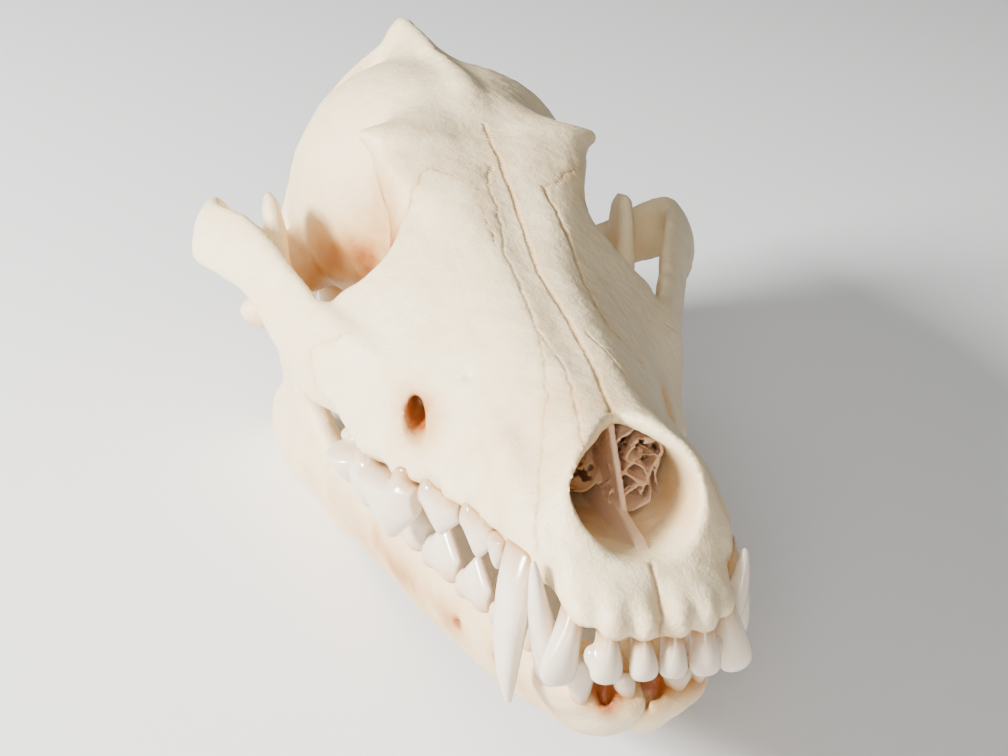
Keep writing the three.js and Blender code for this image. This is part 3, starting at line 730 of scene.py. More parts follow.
@dataclass(frozen=True)
class BoneFinish:
    """Dry bone: pale outside, tan where the surface is hollow, orange in the deepest sockets; the tan and
    orange are the bone's own colour there together with painted shade.
    """

    pale: tuple = (0.81, 0.655, 0.395)
    warm: tuple = (0.70, 0.46, 0.22)
    # the darker stops: the bone's own tan and orange together with painted shade in hollows and sockets
    tan: tuple = (0.50, 0.24, 0.07)
    orange: tuple = (0.30, 0.075, 0.01)
    groove: tuple = (0.20, 0.11, 0.05)
    roughness: float = 0.48
    mottle: float = 0.34

    def material(self, name: str) -> bpy.types.Material:
        """Builds the material."""
        graph = Graph(name)
        mottle = graph.math("MULTIPLY", graph.math("SUBTRACT", graph.noise(7.0, 4), 0.5), self.mottle)
        # the share of the darker stops: painted shade in hollows and holes, the bone's own tan, and the stain
        # beside the sutures
        share = graph.math("ADD", graph.value("tan"), mottle, clamp=True)
        base = graph.ramp(share, ((0.0, self.pale), (0.34, self.warm), (0.7, self.tan), (1.0, self.orange)))
        base = graph.mix(graph.value("groove"), base, self.groove)
        grain = graph.math("ADD", graph.noise(1.6, 5), graph.math("MULTIPLY", graph.noise(0.5, 2), 0.5))
        bump = graph.add("ShaderNodeBump", 0, None, Strength=0.5, Distance=0.0004, Height=grain)
        rough = graph.math("ADD", graph.math("MULTIPLY", graph.noise(3.0), 0.2), self.roughness - 0.1)
        return graph.shade(Base_Color=base, Roughness=rough, Normal=bump)


@dataclass(frozen=True)
class EnamelFinish:
    """Glossy teeth, pinkish white, yellower towards the bone."""

    crown: tuple = (0.76, 0.65, 0.50)
    neck: tuple = (0.46, 0.25, 0.09)
    roughness: float = 0.2

    def material(self, name: str) -> bpy.types.Material:
        """Builds the material."""
        graph = Graph(name)
        stain = graph.math("MULTIPLY", graph.math("SUBTRACT", graph.noise(4.0, 4), 0.5), 0.3)
        share = graph.math("ADD", graph.math("MULTIPLY", graph.value("neck"), 1.2), stain, clamp=True)
        base = graph.mix(share, self.crown, self.neck)
        bump = graph.add("ShaderNodeBump", 0, None, Strength=0.2, Distance=0.0001, Height=graph.noise(1.2, 3))
        return graph.shade(
            Base_Color=base,
            Roughness=self.roughness,
            Normal=bump,
            Coat_Weight=0.3,
            Coat_Roughness=0.12,
            Subsurface_Weight=0.08,
            Subsurface_Scale=0.002,
        )


@dataclass(frozen=True)
class Crack:
    """A suture or fine groove along a line over the bone, drawn in the picture's pixels.

    The line wanders to each side by the noise. A paired one is repeated on the skull's other side.
    """

    pixels: tuple
    width: float = 0.3
    depth: float = 0.28
    stain: float = 0.55
    wander: float = 0.35
    paired: bool = False

    def traced(self, sight: Sight, field: "Field") -> "TracedCrack":
        """Lays the line over a bone."""
        places = sight.onto(field, self.pixels)
        if self.paired:
            places = np.vstack([places, places * np.array([-1, 1, 1])])
        return TracedCrack(self, places)


@dataclass
class TracedCrack:
    """A crack with its places on the bone."""

    crack: Crack
    places: Array

    CHUNK = 4000

    def away(self, points: Array, limit: float) -> Array:
        """Distance from each point to the line, or limit where it is further.

        Args:
            points: Places on the bone.
            limit: The greatest distance that matters.

        Returns:
            The distances.
        """
        best = np.full(len(points), limit)
        low, high = self.places.min(0) - limit, self.places.max(0) + limit
        near = np.flatnonzero(np.all((points > low) & (points < high), axis=1))
        for start in range(0, len(near), self.CHUNK):
            chunk = near[start : start + self.CHUNK]
            gaps = points[chunk][:, None] - self.places[None]
            best[chunk] = np.minimum(best[chunk], np.sqrt(np.min(np.sum(gaps * gaps, axis=2), axis=1)))
        return best

    def shares(self, points: Array, noise: Noise) -> tuple[Array, Array]:
        """How near points are to the line: sharply, and with a wide soft border.

        Args:
            points: Places on the bone.
            noise: Moves the line to each side.

        Returns:
            Two shares, each 1 on the line.
        """
        wander = self.crack.wander
        shift = np.stack([noise.layered(points + 40 * i, 2.2, 2) for i in range(3)], -1)
        away = self.away(points + wander * shift, 6 * self.crack.width + 1.5)
        width = self.crack.width * (1 + 0.35 * noise(points, 3.0))
        return np.exp(-((away / width) ** 2)), np.exp(-((away / (self.crack.width + 0.9)) ** 2))


@dataclass(frozen=True)
class Swelling:
    """A soft rise, or a dent where it is below zero, on the bone's surface."""

    centre: tuple
    size: tuple
    height: float

    def at(self, points: Array) -> Array:
        """Its height at points."""
        away = (points - np.array(self.centre)) / np.array(self.size)
        return self.height * np.exp(-np.sum(away * away, axis=1))


@dataclass(frozen=True)
class StainAndShade:
    """A region where the bone is darker, given by its centre, its size and how dark it is: the bone's own tan
    together with painted shade, laid in hollows, holes and places that other parts shade.
    """

    centre: tuple
    size: tuple
    strength: float
    paired: bool = True

    def at(self, points: Array) -> Array:
        """How dark it is at points."""
        place = points.copy()
        if self.paired:
            place[:, 0] = np.abs(place[:, 0])
        away = (place - np.array(self.centre)) / np.array(self.size)
        return self.strength * np.exp(-np.sum(away * away, axis=1))


@dataclass(frozen=True)
class Trough:
    """The shallow dish along the middle of the nose and forehead: rows of [y, depth, half width]."""

    rows: tuple

    def at(self, points: Array, normals: Array) -> Array:
        """How far the surface lies below its plain form."""
        depth, width = Course(self.rows)(np.clip(points[:, 1], self.rows[0][0], self.rows[-1][0])).T
        within = (points[:, 1] > self.rows[0][0]) & (points[:, 1] < self.rows[-1][0]) & (points[:, 2] > 22)
        up = np.clip((normals[:, 2] - 0.3) * 3, 0, 1)
        return depth * np.exp(-((points[:, 0] / width) ** 2)) * up * within


class Cranium:
    """The skull without its lower jaw: muzzle, braincase and both cheek arches."""

    MUZZLE = (
        (-1.6, 0, 3.5, 3.2, 2.0, 0.8, 2.2, 0, 0),
        (0.0, 0, 9.2, 4.8, 2.4, 0.0, 2.4, 0, 0),
        (3.0, 0, 12.0, 7.4, 3.4, 0.8, 2.5, 0.06, 0),
        (6.5, 0, 13.4, 10.6, 4.4, 2.2, 2.7, 0.12, 0.04),
        (10.0, 0, 14.2, 17.0, 5.4, 3.0, 3.0, 0.16, 0.06),
        (13.0, 0, 15.0, 22.4, 6.2, 3.6, 3.2, 0.19, 0.06),
        (16.0, 0, 15.9, 25.6, 7.0, 4.2, 3.2, 0.22, 0.06),
        (21.0, 0, 16.8, 26.8, 7.4, 4.6, 2.9, 0.24, 0.04),
        (28.0, 0, 17.6, 28.0, 7.6, 4.8, 2.4, 0.24, 0.04),
        (38.0, 0, 19.8, 30.6, 7.6, 4.8, 2.3, 0.26, 0.04),
        (48.0, 0, 23.0, 33.4, 7.4, 4.6, 2.2, 0.28, 0.04),
        (58.0, 0, 27.4, 36.8, 7.2, 4.2, 2.15, 0.28, 0.04),
        (68.0, 0, 31.2, 40.6, 9.6, 3.6, 2.1, 0.3, 0.06),
        (77.0, 0, 34.2, 44.6, 14.4, 3.6, 2.05, 0.3, 0.1),
        (86.0, 0, 36.2, 49.2, 19.4, 5.0, 2.1, 0.32, 0.2),
        (96.0, 0, 33.0, 53.4, 21.0, 8.0, 2.2, 0.26, 0.3),
        (104.0, 0, 24.0, 56.6, 30.0, 14.0, 2.4, 0.1, 0.3),
    )
    FOREHEAD = (
        (68, 0, 5.0, 38.6, 34, 20, 2.4, 0, 0.3),
        (80, 0, 10.6, 44.6, 40, 18, 2.6, 0, 0.35),
        (88, 0, 14.8, 49.2, 44, 18, 2.8, 0, 0.38),
        (96, 0, 18.4, 53.3, 47.5, 18, 3.0, 0, 0.42),
        (104, 0, 20.8, 56.8, 51, 18, 3.0, 0, 0.46),
        (111, 0, 21.8, 59.4, 53.0, 18, 2.8, 0, 0.46),
        (118, 0, 19.6, 61.4, 52.5, 16, 2.5, 0, 0.36),
        (126, 0, 18.4, 63.0, 49, 14, 2.4, 0.02, 0.2),
        (136, 0, 20.0, 64.0, 44, 13, 2.3, 0.1, 0.1),
    )
    BRAINCASE = (
        (110, 0, 11.0, 54.0, 42, 17.0, 2.2, 0, 0),
        (116, 0, 15.6, 59.5, 43, 15.6, 2.2, 0, 0),
        (123, 0, 19.6, 62.0, 41, 14.6, 2.3, 0, 0),
        (131, 0, 25.4, 64.0, 38, 13.6, 2.4, 0.04, 0.04),
        (140, 0, 30.0, 65.4, 35, 12.6, 2.4, 0.04, 0.06),
        (150, 0, CASE_HALF_WIDTH, 66.0, 33, 12.2, 2.4, 0.06, 0.1),
        (160, 0, CASE_HALF_WIDTH - 0.4, 65.6, 32, 12.2, 2.35, 0.08, 0.1),
        (169, 0, 29.2, 63.6, 31, 12.6, 2.3, 0.1, 0.1),
        (176, 0, 25.0, 60.0, 30, 13.4, 2.2, 0.1, 0.1),
        (182, 0, 18.4, 53.0, 30, 15.4, 2.1, 0.1, 0.1),
        (185, 0, 9.0, 43.0, 30, 20.0, 2.0, 0, 0),
    )
    OCCIPUT = (
        (160, 0, 26.0, 66.0, 26, 13.0, 1.9, 0.1, 0.1),
        (168, 0, 28.4, 68.6, 24, 12.6, 1.55, 0.14, 0.1),
        (175, 0, 28.0, 69.6, 24, 13.2, 1.4, 0.18, 0.1),
        (180, 0, 24.0, 70.2, 27, 15.0, 1.3, 0.2, 0.1),
        (184, 0, 16.6, 70.6, 38, 26.0, 1.35, 0.2, 0.2),
        (188, 0, 9.0, 71.0, 52, 46.0, 1.5, 0.3, 0.2),
        (191, 0, 3.2, 71.2, 62, 57.0, 1.8, 0.2, 0),
    )
    SKULL_FLOOR = (
        (92, 0, 10.5, 27, 22, 19.5, 2.6),
        (115, 0, 11, 28, 22, 18, 2.6),
        (140, 0, 14, 30, 22, 15, 2.6),
        (165, 0, 17, 30, 21, 13.5, 2.6),
        (186, 0, 13, 34, 22, 13, 2.4),
    )
    CREST = (
        (0, 0, 111, 54.4, 5.0, 3.4),
        (1, 0, 126, 59.6, 4.4, 5.6),
        (2, 0, 142, 62.4, 2.6, 5.0),
        (3, 0, 158, 63.6, 2.2, 5.0),
        (4, 0, 174, 64.0, 2.4, 6.4),
        (5, 0, 186, 62.8, 3.2, 9.0),
        (6, 0, SKULL_LENGTH, 62.0, 3.4, 8.6),
    )
    NUCHAL_EDGE = (
        (0, 0, 188, 63, 2.6, 5.0),
        (1, 10, 186, 57, 2.0, 4.2),
        (2, 19, 182, 47, 1.9, 4.2),
        (3, 25.6, 176, 35, 2.1, 4.4),
        (4, 29.0, 169, 24.6, 2.6, 4.6),
        (5, 29.0, 163, 19.4, 2.6, 4.0),
    )
    ARCH = (
        (0, 22, 68, 16, 3.0, 6.0, 0),
        (1, 31.0, 81, 18.2, 3.6, 9.0, 2),
        (2, 35.6, 91, 20.6, 2.8, 8.8, 6),
        (3, 39.0, 100, 25.2, 2.4, 7.0, 12),
        (4, 43.0, 110, 30.0, 2.3, 6.2, 18),
        (5, ARCH_HALF_WIDTH - 6.6, 120, 32.4, 2.4, 6.8, 22),
        (6, ARCH_HALF_WIDTH - 3.0, 130, 32.6, 2.5, 6.6, 18),
        (7, ARCH_HALF_WIDTH - 3.4, 138, 32.0, 2.8, 6.8, 12),
        (8, 46.4, 146, 27.8, 3.4, 6.2, 4),
        (9, 38, 150, 23.6, 5.2, 5.6, 0),
        (10, 27, 151, 22.0, 6.4, 6.0, 0),
    )
    POSTORBITAL = (
        (0, 8, 109, 53.4, 6.4, 3.6),
        (1, 17, 110, 55.2, 4.8, 2.8),
        (2, 24.2, 111.6, 56.0, 1.3, 1.2),
    )
    CANINE_SWELLING = (
        (0, 12.8, 12, 7.4, 2.6, 3.2),
        (1, 14.0, 19, 10.6, 3.2, 5.0),
        (2, 13.8, 29, 15.4, 2.9, 4.6),
        (3, 13.0, 40, 19.5, 1.8, 2.4),
    )
    MASTOID = ((0, 22, 172, 26, 6, 6), (1, 23.4, 176, 16, 4, 4.4), (2, 22.8, 177.4, 6.4, 1.4, 1.8))
    JOINT_LIP = ((0, 33, 155, 18, 5.4, 3.2), (1, 32.6, 155.6, 11, 4.4, 2.0), (2, 32.2, 155.2, 6.8, 2.6, 1.1))
    THROAT_WALL = (
        (24, 9.8, 88, 136, 2.0),
        (16, 9.6, 88, 133, 1.5),
        (9, 9.0, 88, 131, 1.3),
        (6.4, 8.6, 89, 133, 1.1),
        (5.2, 8.4, 91, 131, 0.8),
    )
    NOSE = (
        (-8, 0, 8.6, 26, 16.5, 9.2, 2.3, 0.1, 0.1),
        (7, 0, 9.4, 26, 17.0, 9.2, 2.3, 0.12, 0.1),
        (14, 0, 10.2, 25.0, 17.6, 8.8, 2.3, 0.12, 0.1),
        (22, 0, 10.4, 24.2, 17.0, 8.6, 2.3, 0.14, 0.1),
        (34, 0, 10.8, 25.4, 16.8, 8.6, 2.3, 0.2, 0.1),
        (46, 0, 10.4, 26.6, 17.4, 10.2, 2.3, 0.2, 0.1),
        (56, 0, 5.0, 24.0, 18.0, 12.0, 2.3, 0.2, 0.1),
    )
    THROAT = (
        (90, 0, 6.4, 17.5, 12, -4, 2.6),
        (108, 0, 7.0, 18.5, 12, -6, 2.6),
        (122, 0, 6.4, 14.0, 8, -6, 2.6),
    )
    INFRAORBITAL = (
        (0, 29.5, 44, 14.2, 2.2, 3.2),
        (1, 24.0, 53, 15.4, 2.0, 3.0),
        (2, 19.6, 65, 18.0, 1.6, 2.4),
    )
    UP_FRONT = (0, 1, 0)

    def __init__(self, step: float) -> None:
        self.field = Field((-58, -6, -12), (58, 198, 76), step)
        self._unite()
        self._hollow()
        self.field.add(sweep(self.ARCH, rings=90), 2.0)
        self.field.add(sweep(self.ARCH, rings=90).mirrored(), 2.0)
        for socket in both(ball(CONDYLE, (14.0, 4.95, 4.95))):
            self.field.cut(socket, 0.6)
        self._margins()
        self.field.soften(1)

    def _unite(self) -> None:
        """Adds the forms of the bone."""
        add = self.field.add
        add(loft(self.MUZZLE), 0)
        add(loft(self.FOREHEAD), 3.5)
        add(loft(self.BRAINCASE), 3.0)
        add(loft(self.OCCIPUT), 3.0)
        add(loft(self.SKULL_FLOOR), 2.0)
        add(sweep(self.CREST), 2.6)
        paired = (
            (sweep(self.POSTORBITAL), 3.0),
            (sweep(self.NUCHAL_EDGE), 2.6),
            (sweep(self.CANINE_SWELLING), 2.6),
            (ball((14.6, 161, 13.6), (9.4, 12.4, 9.2), 12), 1.2),
            (sweep(self.MASTOID, self.UP_FRONT), 2.0),
            (ball((9.0, 186.6, 20.0), (5.4, 6.0, 8.2), 18), 1.2),
            (ball((33, 151.5, 20.6), (12.5, 8.4, 6.4)), 2.4),
            (sweep(self.JOINT_LIP, self.UP_FRONT), 1.6),
            (plate(self.THROAT_WALL), 1.2),
        )
        for surface, blend in paired:
            for one in both(surface):
                add(one, blend)

    def _hollow(self) -> None:
        """Takes away the nose, the throat, the eye sockets and the holes."""
        cut = self.field.cut
        cut(loft(self.NOSE), 0.8)
        cut(loft(self.THROAT), 1.0)
        self.field.cut_where((-12, 2, 18), (12, 28, 32), self._notch, 0.5)
        # the hole for the spinal cord
        angle = np.linspace(0, 2 * np.pi, 40, endpoint=False)
        ring = np.stack([8 * np.cos(angle), 187 + 0 * angle, 24.5 + 6.9 * np.sin(angle)], -1)
        rings = np.stack([ring + np.array([0, y, 0]) for y in np.linspace(-13, 13, 12)])
        cut(Surface.over_rings(rings), 1.0)
        paired = (
            (ball((34, 99, 43), (16, 19.5, 14.5), -14), 1.2),
            (ball((31, 110, 22), (15, 20, 32)), 2.4),
            (sweep(self.INFRAORBITAL), 0.8),
            (ball((3.4, 11.5, 2.0), (1.5, 4.6, 4.0)), 0.6),
        )
        for surface, blend in paired:
            for one in both(surface):
                cut(one, blend)

    def _margins(self) -> None:
        """Draws the bone back from the necks of the premolars, so that the forks of their roots show."""
        for x, y, z, length, width, heading, *_ in Teeth.UPPER_CHEEK[:4]:
            outer = (x + width * 0.6, y, z + 1.6)
            for one in both(ball(outer, (width * 0.66, length * 0.42, 3.8), -heading)):
                self.field.cut(one, 1.0)

    @staticmethod
    def _notch(points: Array) -> Array:
        """The opening between the front ends of the nasal bones, each a point beside a ragged notch."""
        x, y, z = points[..., 0], points[..., 1], points[..., 2]
        away = np.abs(x - 0.4)
        edge = 24.6 - 1.06 * away
        return np.maximum(np.maximum(y - edge, away - 9.2), 19.5 - z)


class JawHalf:
    """The left half of the lower jaw, from its joint in front to the condyle."""

    BODY = (
        (2.6, 1.6, 2.4, -11.2, -12.2, -13.4, 2.0, 0, 0.2),
        (5.0, 2.2, 7.4, -9.6, -12.0, -16.4, 2.1, 0, 0.5),
        (10.0, 2.8, 9.6, -8.6, -12.4, -21.2, 2.2, 0, 0.55),
        (16.0, 4.6, 8.8, -8.4, -14.0, -23.6, 2.2, 0.05, 0.5),
        (23.0, 7.4, 6.6, -9.2, -15.0, -24.3, 2.2, 0.1, 0.4, 0.1),
        (30.0, 10.2, 4.8, -9.8, -16.0, JAW_BASE, 2.3, 0.15, 0.3, 0.16),
        (40.0, 12.8, 4.2, -9.6, -16.6, JAW_BASE, 2.4, 0.2, 0.25, 0.2),
        (55.0, 16.0, 4.1, -8.8, -16.4, JAW_BASE, 2.4, 0.2, 0.25, 0.2),
        (70.0, 18.4, 4.3, -8.2, -16.0, JAW_BASE, 2.4, 0.2, 0.25, 0.2),
        (85.0, 21.0, 4.4, -7.4, -15.2, JAW_BASE, 2.4, 0.2, 0.25, 0.2),
        (100.0, 24.0, 4.0, -6.2, -14.4, -24.8, 2.4, 0.2, 0.25, 0.18),
        (114.0, 27.6, 3.6, -4.4, -13.6, -24.4, 2.3, 0.2, 0.2, 0.14),
        (126.0, 31.0, 3.2, -3.4, -12.4, -22.1, 2.2, 0.2, 0.2, 0.08),
        (137.0, 33.0, 2.8, -3.0, -11.2, -20.0, 2.2, 0.2, 0.2),
        (145.0, 33.6, 2.6, -4.0, -10.8, -18.4, 2.2, 0.2, 0.2),
        (151.0, 33.0, 2.0, -7.4, -11.4, -16.4, 2.2, 0.1, 0.1),
        (154.5, 32.4, 1.0, -10.6, -12.2, -14.0, 2.2),
    )
    BRANCH = (
        (-14, 30.8, 116, 138, 2.4),
        (-6, 32.0, 113, 145, 2.4),
        (3, 33.6, 114, 150, 2.2),
        (9, 34.6, 116, 149, 2.1),
        (14, 35.4, 118, 144, 2.0),
        (22, 36.6, 121.4, 141, 1.8),
        (31, 37.8, 125, 140.4, 1.6),
        (37, 38.3, 128.4, 139.6, 1.3),
        (40, 38.5, 132, 137.6, 0.8),
    )
    FRONT_EDGE = (
        (0, 27.4, 106, -9, 3.0, 4.0),
        (1, 31.6, 116, 2, 2.6, 3.0),
        (2, 35.2, 120.4, 15, 2.3, 2.4),
        (3, 37.6, 126.4, 30, 1.8, 1.8),
        (4, 38.4, 132, 38.6, 1.2, 1.2),
    )

    # holes of the nerves on the jaw's outer face
    HOLES = (((14.2, 30.0, -17.0), (1.6, 1.1, 0.9)), ((17.6, 44.0, -16.4), (1.4, 0.8, 0.7)))
    # empty sockets of the front teeth, with x counted outwards: centre and radii
    SOCKETS = {
        Side.LEFT: (((1.5, 5.0, -10.4), (1.9, 2.2, 3.4)),),
        Side.RIGHT: (((5.8, 5.2, -10.8), (1.3, 1.8, 2.6)), ((12.9, 7.6, -10.6), (0.9, 2.4, 2.8))),
    }

    def __init__(self, step: float, placing: Placing, side: Side) -> None:
        self.field = Field((-3, -2, -30), (48, 162, 46), step)
        self.sockets = self.SOCKETS[side]
        self.field.add(loft(self.BODY), 0)
        self.field.add(plate(self.BRANCH), 2.4)
        self.field.add(sweep(self.FRONT_EDGE, Cranium.UP_FRONT), 2.4)
        self.field.add(ball(CONDYLE, (9.0, 4.4, 4.4)), 1.6)
        self.field.soften(1)
        for centre, radii in self.sockets:
            self.field.cut(ball(centre, radii, across=24, down=18), 0.5)
        for x, y, z, length, width, heading, *_ in Teeth.LOWER_CHEEK[1:4]:
            outer = ball((x + width * 0.5, y, z - 0.2), (width * 0.5, length * 0.34, 1.7), -heading)
            self.field.cut(outer, 1.2)
        for centre, radii in self.HOLES:
            self.field.cut(ball(centre, radii, across=24, down=18), 0.4)
        self.field.cut_where((-3, -2, -30), (8, 60, 0), lambda p: p[..., 0] - 0.05, 0)
        turn, shift = placing.turn, placing.shift
        self.field.cut_where((-3, -2, -30), (48, 162, 0), lambda p: p @ turn[2] + shift[2], 0)


@dataclass(frozen=True)
class Tooth:
    """One tooth's forms, the level of its neck and how much of its root is bare."""

    forms: tuple
    neck: float
    bare: float

    def mirrored(self) -> "Tooth":
        """The same tooth on the skull's other side."""
        return Tooth(tuple(form.mirrored() for form in self.forms), self.neck, self.bare)


class Teeth:
    """Crowns with their roots, each its own small field, gathered into rows."""

    UPPER_CANINE = (
        (0, 13.4, 22, 12, 2.2, 3.4),
        (1, 15.2, 18.0, 8.0, 2.8, 4.8),
        (2, 17.2, 15.8, 2, 2.8, 4.5),
        (3, 18.3, 14.8, -5, 2.3, 3.5),
        (4, 18.4, 14.4, -11.5, 1.5, 2.2),
        (4.8, 17.8, 14.9, -16.2, 0.5, 0.7),
    )
    LOWER_CANINE = (
        (0, 7.6, 22, -19, 2.4, 3.6),
        (1, 10.8, 14.6, -11.5, 2.8, 4.4),
        (2, 13.6, 10.8, -5.0, 2.3, 3.4),
        (3, 15.6, 9.3, 1.2, 1.7, 2.3),
        (4, 16.5, 9.4, 6.4, 1.0, 1.3),
        (4.6, 16.8, 9.9, 9.2, 0.4, 0.5),
    )
    # [neck, edge, width, depth, side of the small cusp]
    UPPER_INCISORS = (
        ((2.5, 2.4, 1.4), (2.2, -0.4, -6.3), 4.4, 4.6, 0),
        ((7.2, 3.2, 2.0), (7.9, 0.6, -6.8), 4.9, 5.0, 1),
        ((11.6, 6.0, 3.2), (14.6, 4.2, -8.2), 5.6, 5.4, 0),
    )
    # those of the photo's row: on the skull's right the first and third, on its left the second and third
    LOWER_INCISORS = (
        ((-1.9, 5.6, -12.4), (-4.1, 3.9, -7.4), 3.4, 3.4, 0),
        ((-9.3, 7.0, -11.8), (-10.6, 5.2, -4.8), 5.0, 4.6, -1),
        ((5.2, 6.6, -12.2), (5.2, 4.9, -7.0), 4.6, 4.0, 1),
        ((8.9, 8.4, -11.6), (9.8, 6.6, -6.2), 4.4, 4.2, 1),
    )
    ONE_ROOT_BELOW = 6.0  # a shorter tooth has one root
    ROOT_LENGTH = 8.0
    # how much of a cheek tooth's roots may be bare: upper and lower ones, and those of one-rooted teeth
    BARE_UPPER, BARE_LOWER, BARE_SINGLE = 5.2, 2.4, 1.5
    BARE_UPPER_INCISOR, BARE_LOWER_INCISOR = 1.4, 1.0
    # level of a canine's neck, and how much of its root may be bare
    UPPER_CANINE_NECK, LOWER_CANINE_NECK = (5.0, 4.0), (-10.0, 3.0)
    NECK_TINT_REACH = 1.8  # how far from the bone a crown's darker tint at its neck fades
    # the left upper canine's tip is worn down to this row
    WORN_TIP = (3.6, 18.4, 14.6, -8.8, 0.9, 1.3)
    # [x, y, z, length, width, heading, ...cusps]
    UPPER_CHEEK = (
        (17.2, 25.5, 5.4, 5, 3.4, 4, (-0.1, 4.2, 0.9)),
        (17.6, 34.8, 4.9, 10.5, 4, 10, (-0.12, 5.4, 0.85), (0.72, 1.7, 1.6)),
        (20.6, 46.4, 4.6, 12, 4.6, 17, (-0.08, 5.6, 0.85), (0.66, 2.4, 1.7)),
        (26.6, 60.4, 3.4, 19, 8, 21, (-0.28, 9.4, 0.95), (0.5, 6.2, 1.1)),
        (28.0, 74.6, 3.4, 11.5, 13, 6, (-0.45, 5.0, 0.9), (0.5, 4.2, 1.0)),
        (25.6, 84.2, 4.0, 7, 9, -10, (-0.3, 3.0, 0.8), (0.5, 2.6, 0.8)),
    )
    LOWER_CHEEK = (
        (12.4, 22.6, -9.9, 4, 2.8, 12, (-0.1, 3.4, 0.9)),
        (13.9, 30.2, -9.3, 8, 3.4, 12, (-0.15, 5.6, 0.85), (0.7, 1.8, 1.5)),
        (15.9, 40.4, -8.9, 10.5, 3.9, 13, (-0.12, 6.6, 0.85), (0.68, 2.6, 1.6)),
        (18.2, 52.0, -8.2, 12, 4.4, 13, (-0.12, 7.4, 0.85), (0.6, 3.8, 1.5)),
        (20.4, 68.0, -7.6, 20, 6.2, 10, (-0.62, 6.0, 1.2), (-0.08, 10.2, 0.95), (0.66, 4.6, 1.1)),
        (23.0, 83.4, -6.6, 9, 6.4, 10, (-0.4, 4.4, 0.8), (0.5, 3.6, 0.8)),
        (24.6, 91.0, -5.8, 4.6, 4.4, 10, (0, 2.2, 0.5)),
    )

    def __init__(self, step: float) -> None:
        self.step = step

    @staticmethod
    def incisor(neck: Row, edge: Row, width: float, depth: float, cusp: float = 0.0) -> list[Surface]:
        """An incisor from root to edge, which swells, then rounds off.

        Args:
            neck: Where it leaves the bone.
            edge: The middle of its edge.
            width: Its width along the row.
            depth: Its depth across the row.
            cusp: 1 or -1 for a small cusp on the side of greater or smaller x.

        Returns:
            Its forms.
        """
        rings = (
            (-0.8, 2.4, 0.2, 0.3),
            (-0.35, 1.2, 0.32, 0.4),
            (0, 0, 0.3, 0.46),
            (0.35, -0.4, 0.37, 0.5),
            (0.68, -0.5, 0.5, 0.44),
            (0.88, -0.3, 0.48, 0.32),
            (0.98, -0.05, 0.3, 0.18),
            (1.03, 0, 0.06, 0.05),
        )
        rows = []
        for i, (share, forward, wide, deep) in enumerate(rings):
            x, y, z = (a + (b - a) * share for a, b in zip(neck, edge))
            rows.append((i, x, y + forward, z, width * wide, depth * deep))
        forms = [sweep(rows, Cranium.UP_FRONT, 56, 28)]
        if cusp:
            x, y, z = (a + (b - a) * 0.56 for a, b in zip(neck, edge))
            size = (width * 0.2, depth * 0.26, width * 0.32)
            forms.append(ball((x + width * 0.46 * cusp, y + 0.4, z), size))
        return forms

    @staticmethod
    def cheek(row: Row, way: int) -> list[Surface]:
        """A cheek tooth: a blade with its cusps, over a front and a back root.

        Args:
            row: [x, y, z, length, width, heading, ...cusps].
            way: -1 if it points down, 1 if it points up.

        Returns:
            The crown and the roots.
        """
        px, py, pz, length, width, heading, *cusps = row
        turn = math.radians(heading)
        along = np.array([math.sin(turn), math.cos(turn), 0])
        across = np.array([math.cos(turn), -math.sin(turn), 0])
        neck = np.array([px, py, pz])
        share = np.linspace(-0.995, 0.995, 80)
        half = width / 2 * np.sqrt(1 - share**2 * 0.86)
        high = np.full(share.shape, 0.9)
        for at, height, sharp in cusps:
            high = np.maximum(high, height * (1 - sharp * (np.sqrt((share - at) ** 2 + 0.0012) - 0.03)))
        angle = np.linspace(0, 2 * np.pi, 40, endpoint=False)[None]
        out = half[:, None] * signed_power(np.cos(angle), 0.9)
        up = np.where(np.sin(angle) > 0, np.sin(angle) ** 1.0 * high[:, None], 2.0 * np.sin(angle))
        out = out * np.where(np.sin(angle) > 0, 1 - 0.18 * np.sin(angle), 1)
        rings = (
            neck
            + (share * length / 2)[:, None, None] * along
            + out[..., None] * across
            + (way * up)[..., None] * np.array([0, 0, 1])
        )
        forms = [Surface.over_rings(rings)]
        for place in (-0.55, 0.55) if length > Teeth.ONE_ROOT_BELOW else (0.0,):
            top = neck + place * length / 2 * along
            tip = top + 0.12 * place * length * along
            thick = min(width, length * 0.34) * 0.42
            rows = []
            for i, (s, w) in enumerate(((0, 1.0), (0.35, 0.9), (0.75, 0.6), (1, 0.2))):
                at = top + (tip - top) * s - way * np.array([0, 0, Teeth.ROOT_LENGTH * s - 0.5])
                rows.append((i, *at, thick * w, thick * w * 1.1))
            forms.append(sweep(rows, Cranium.UP_FRONT, 20, 20))
        return forms

    def field_of(self, tooth: Tooth, bone: Callable[[Array], Array], way: int) -> Field:
        """One tooth's field, without the root's ends that would come out of the bone.

        Args:
            tooth: The tooth.
            bone: Distances to the bone that holds it.
            way: -1 if it points down, 1 if it points up.

        Returns:
            The field.
        """
        points = np.vstack([form.points for form in tooth.forms])
        low, high = points.min(0) - 1.5, points.max(0) + 1.5
        field = Field(low, high, self.step)
        for form in tooth.forms:
            field.add(form, 1.0)

        def stray(places: Array) -> Array:
            """Distances to the space past the root's bare length that isn't well inside the bone."""
            depth = way * (tooth.neck - places[..., 2])
            outside = bone(places.reshape(-1, 3)).reshape(places.shape[:3])
            return np.maximum(tooth.bare - depth, -(outside + 0.5))

        field.cut_where(low, high, stray, 0.6)
        field.soften(1)
        return field

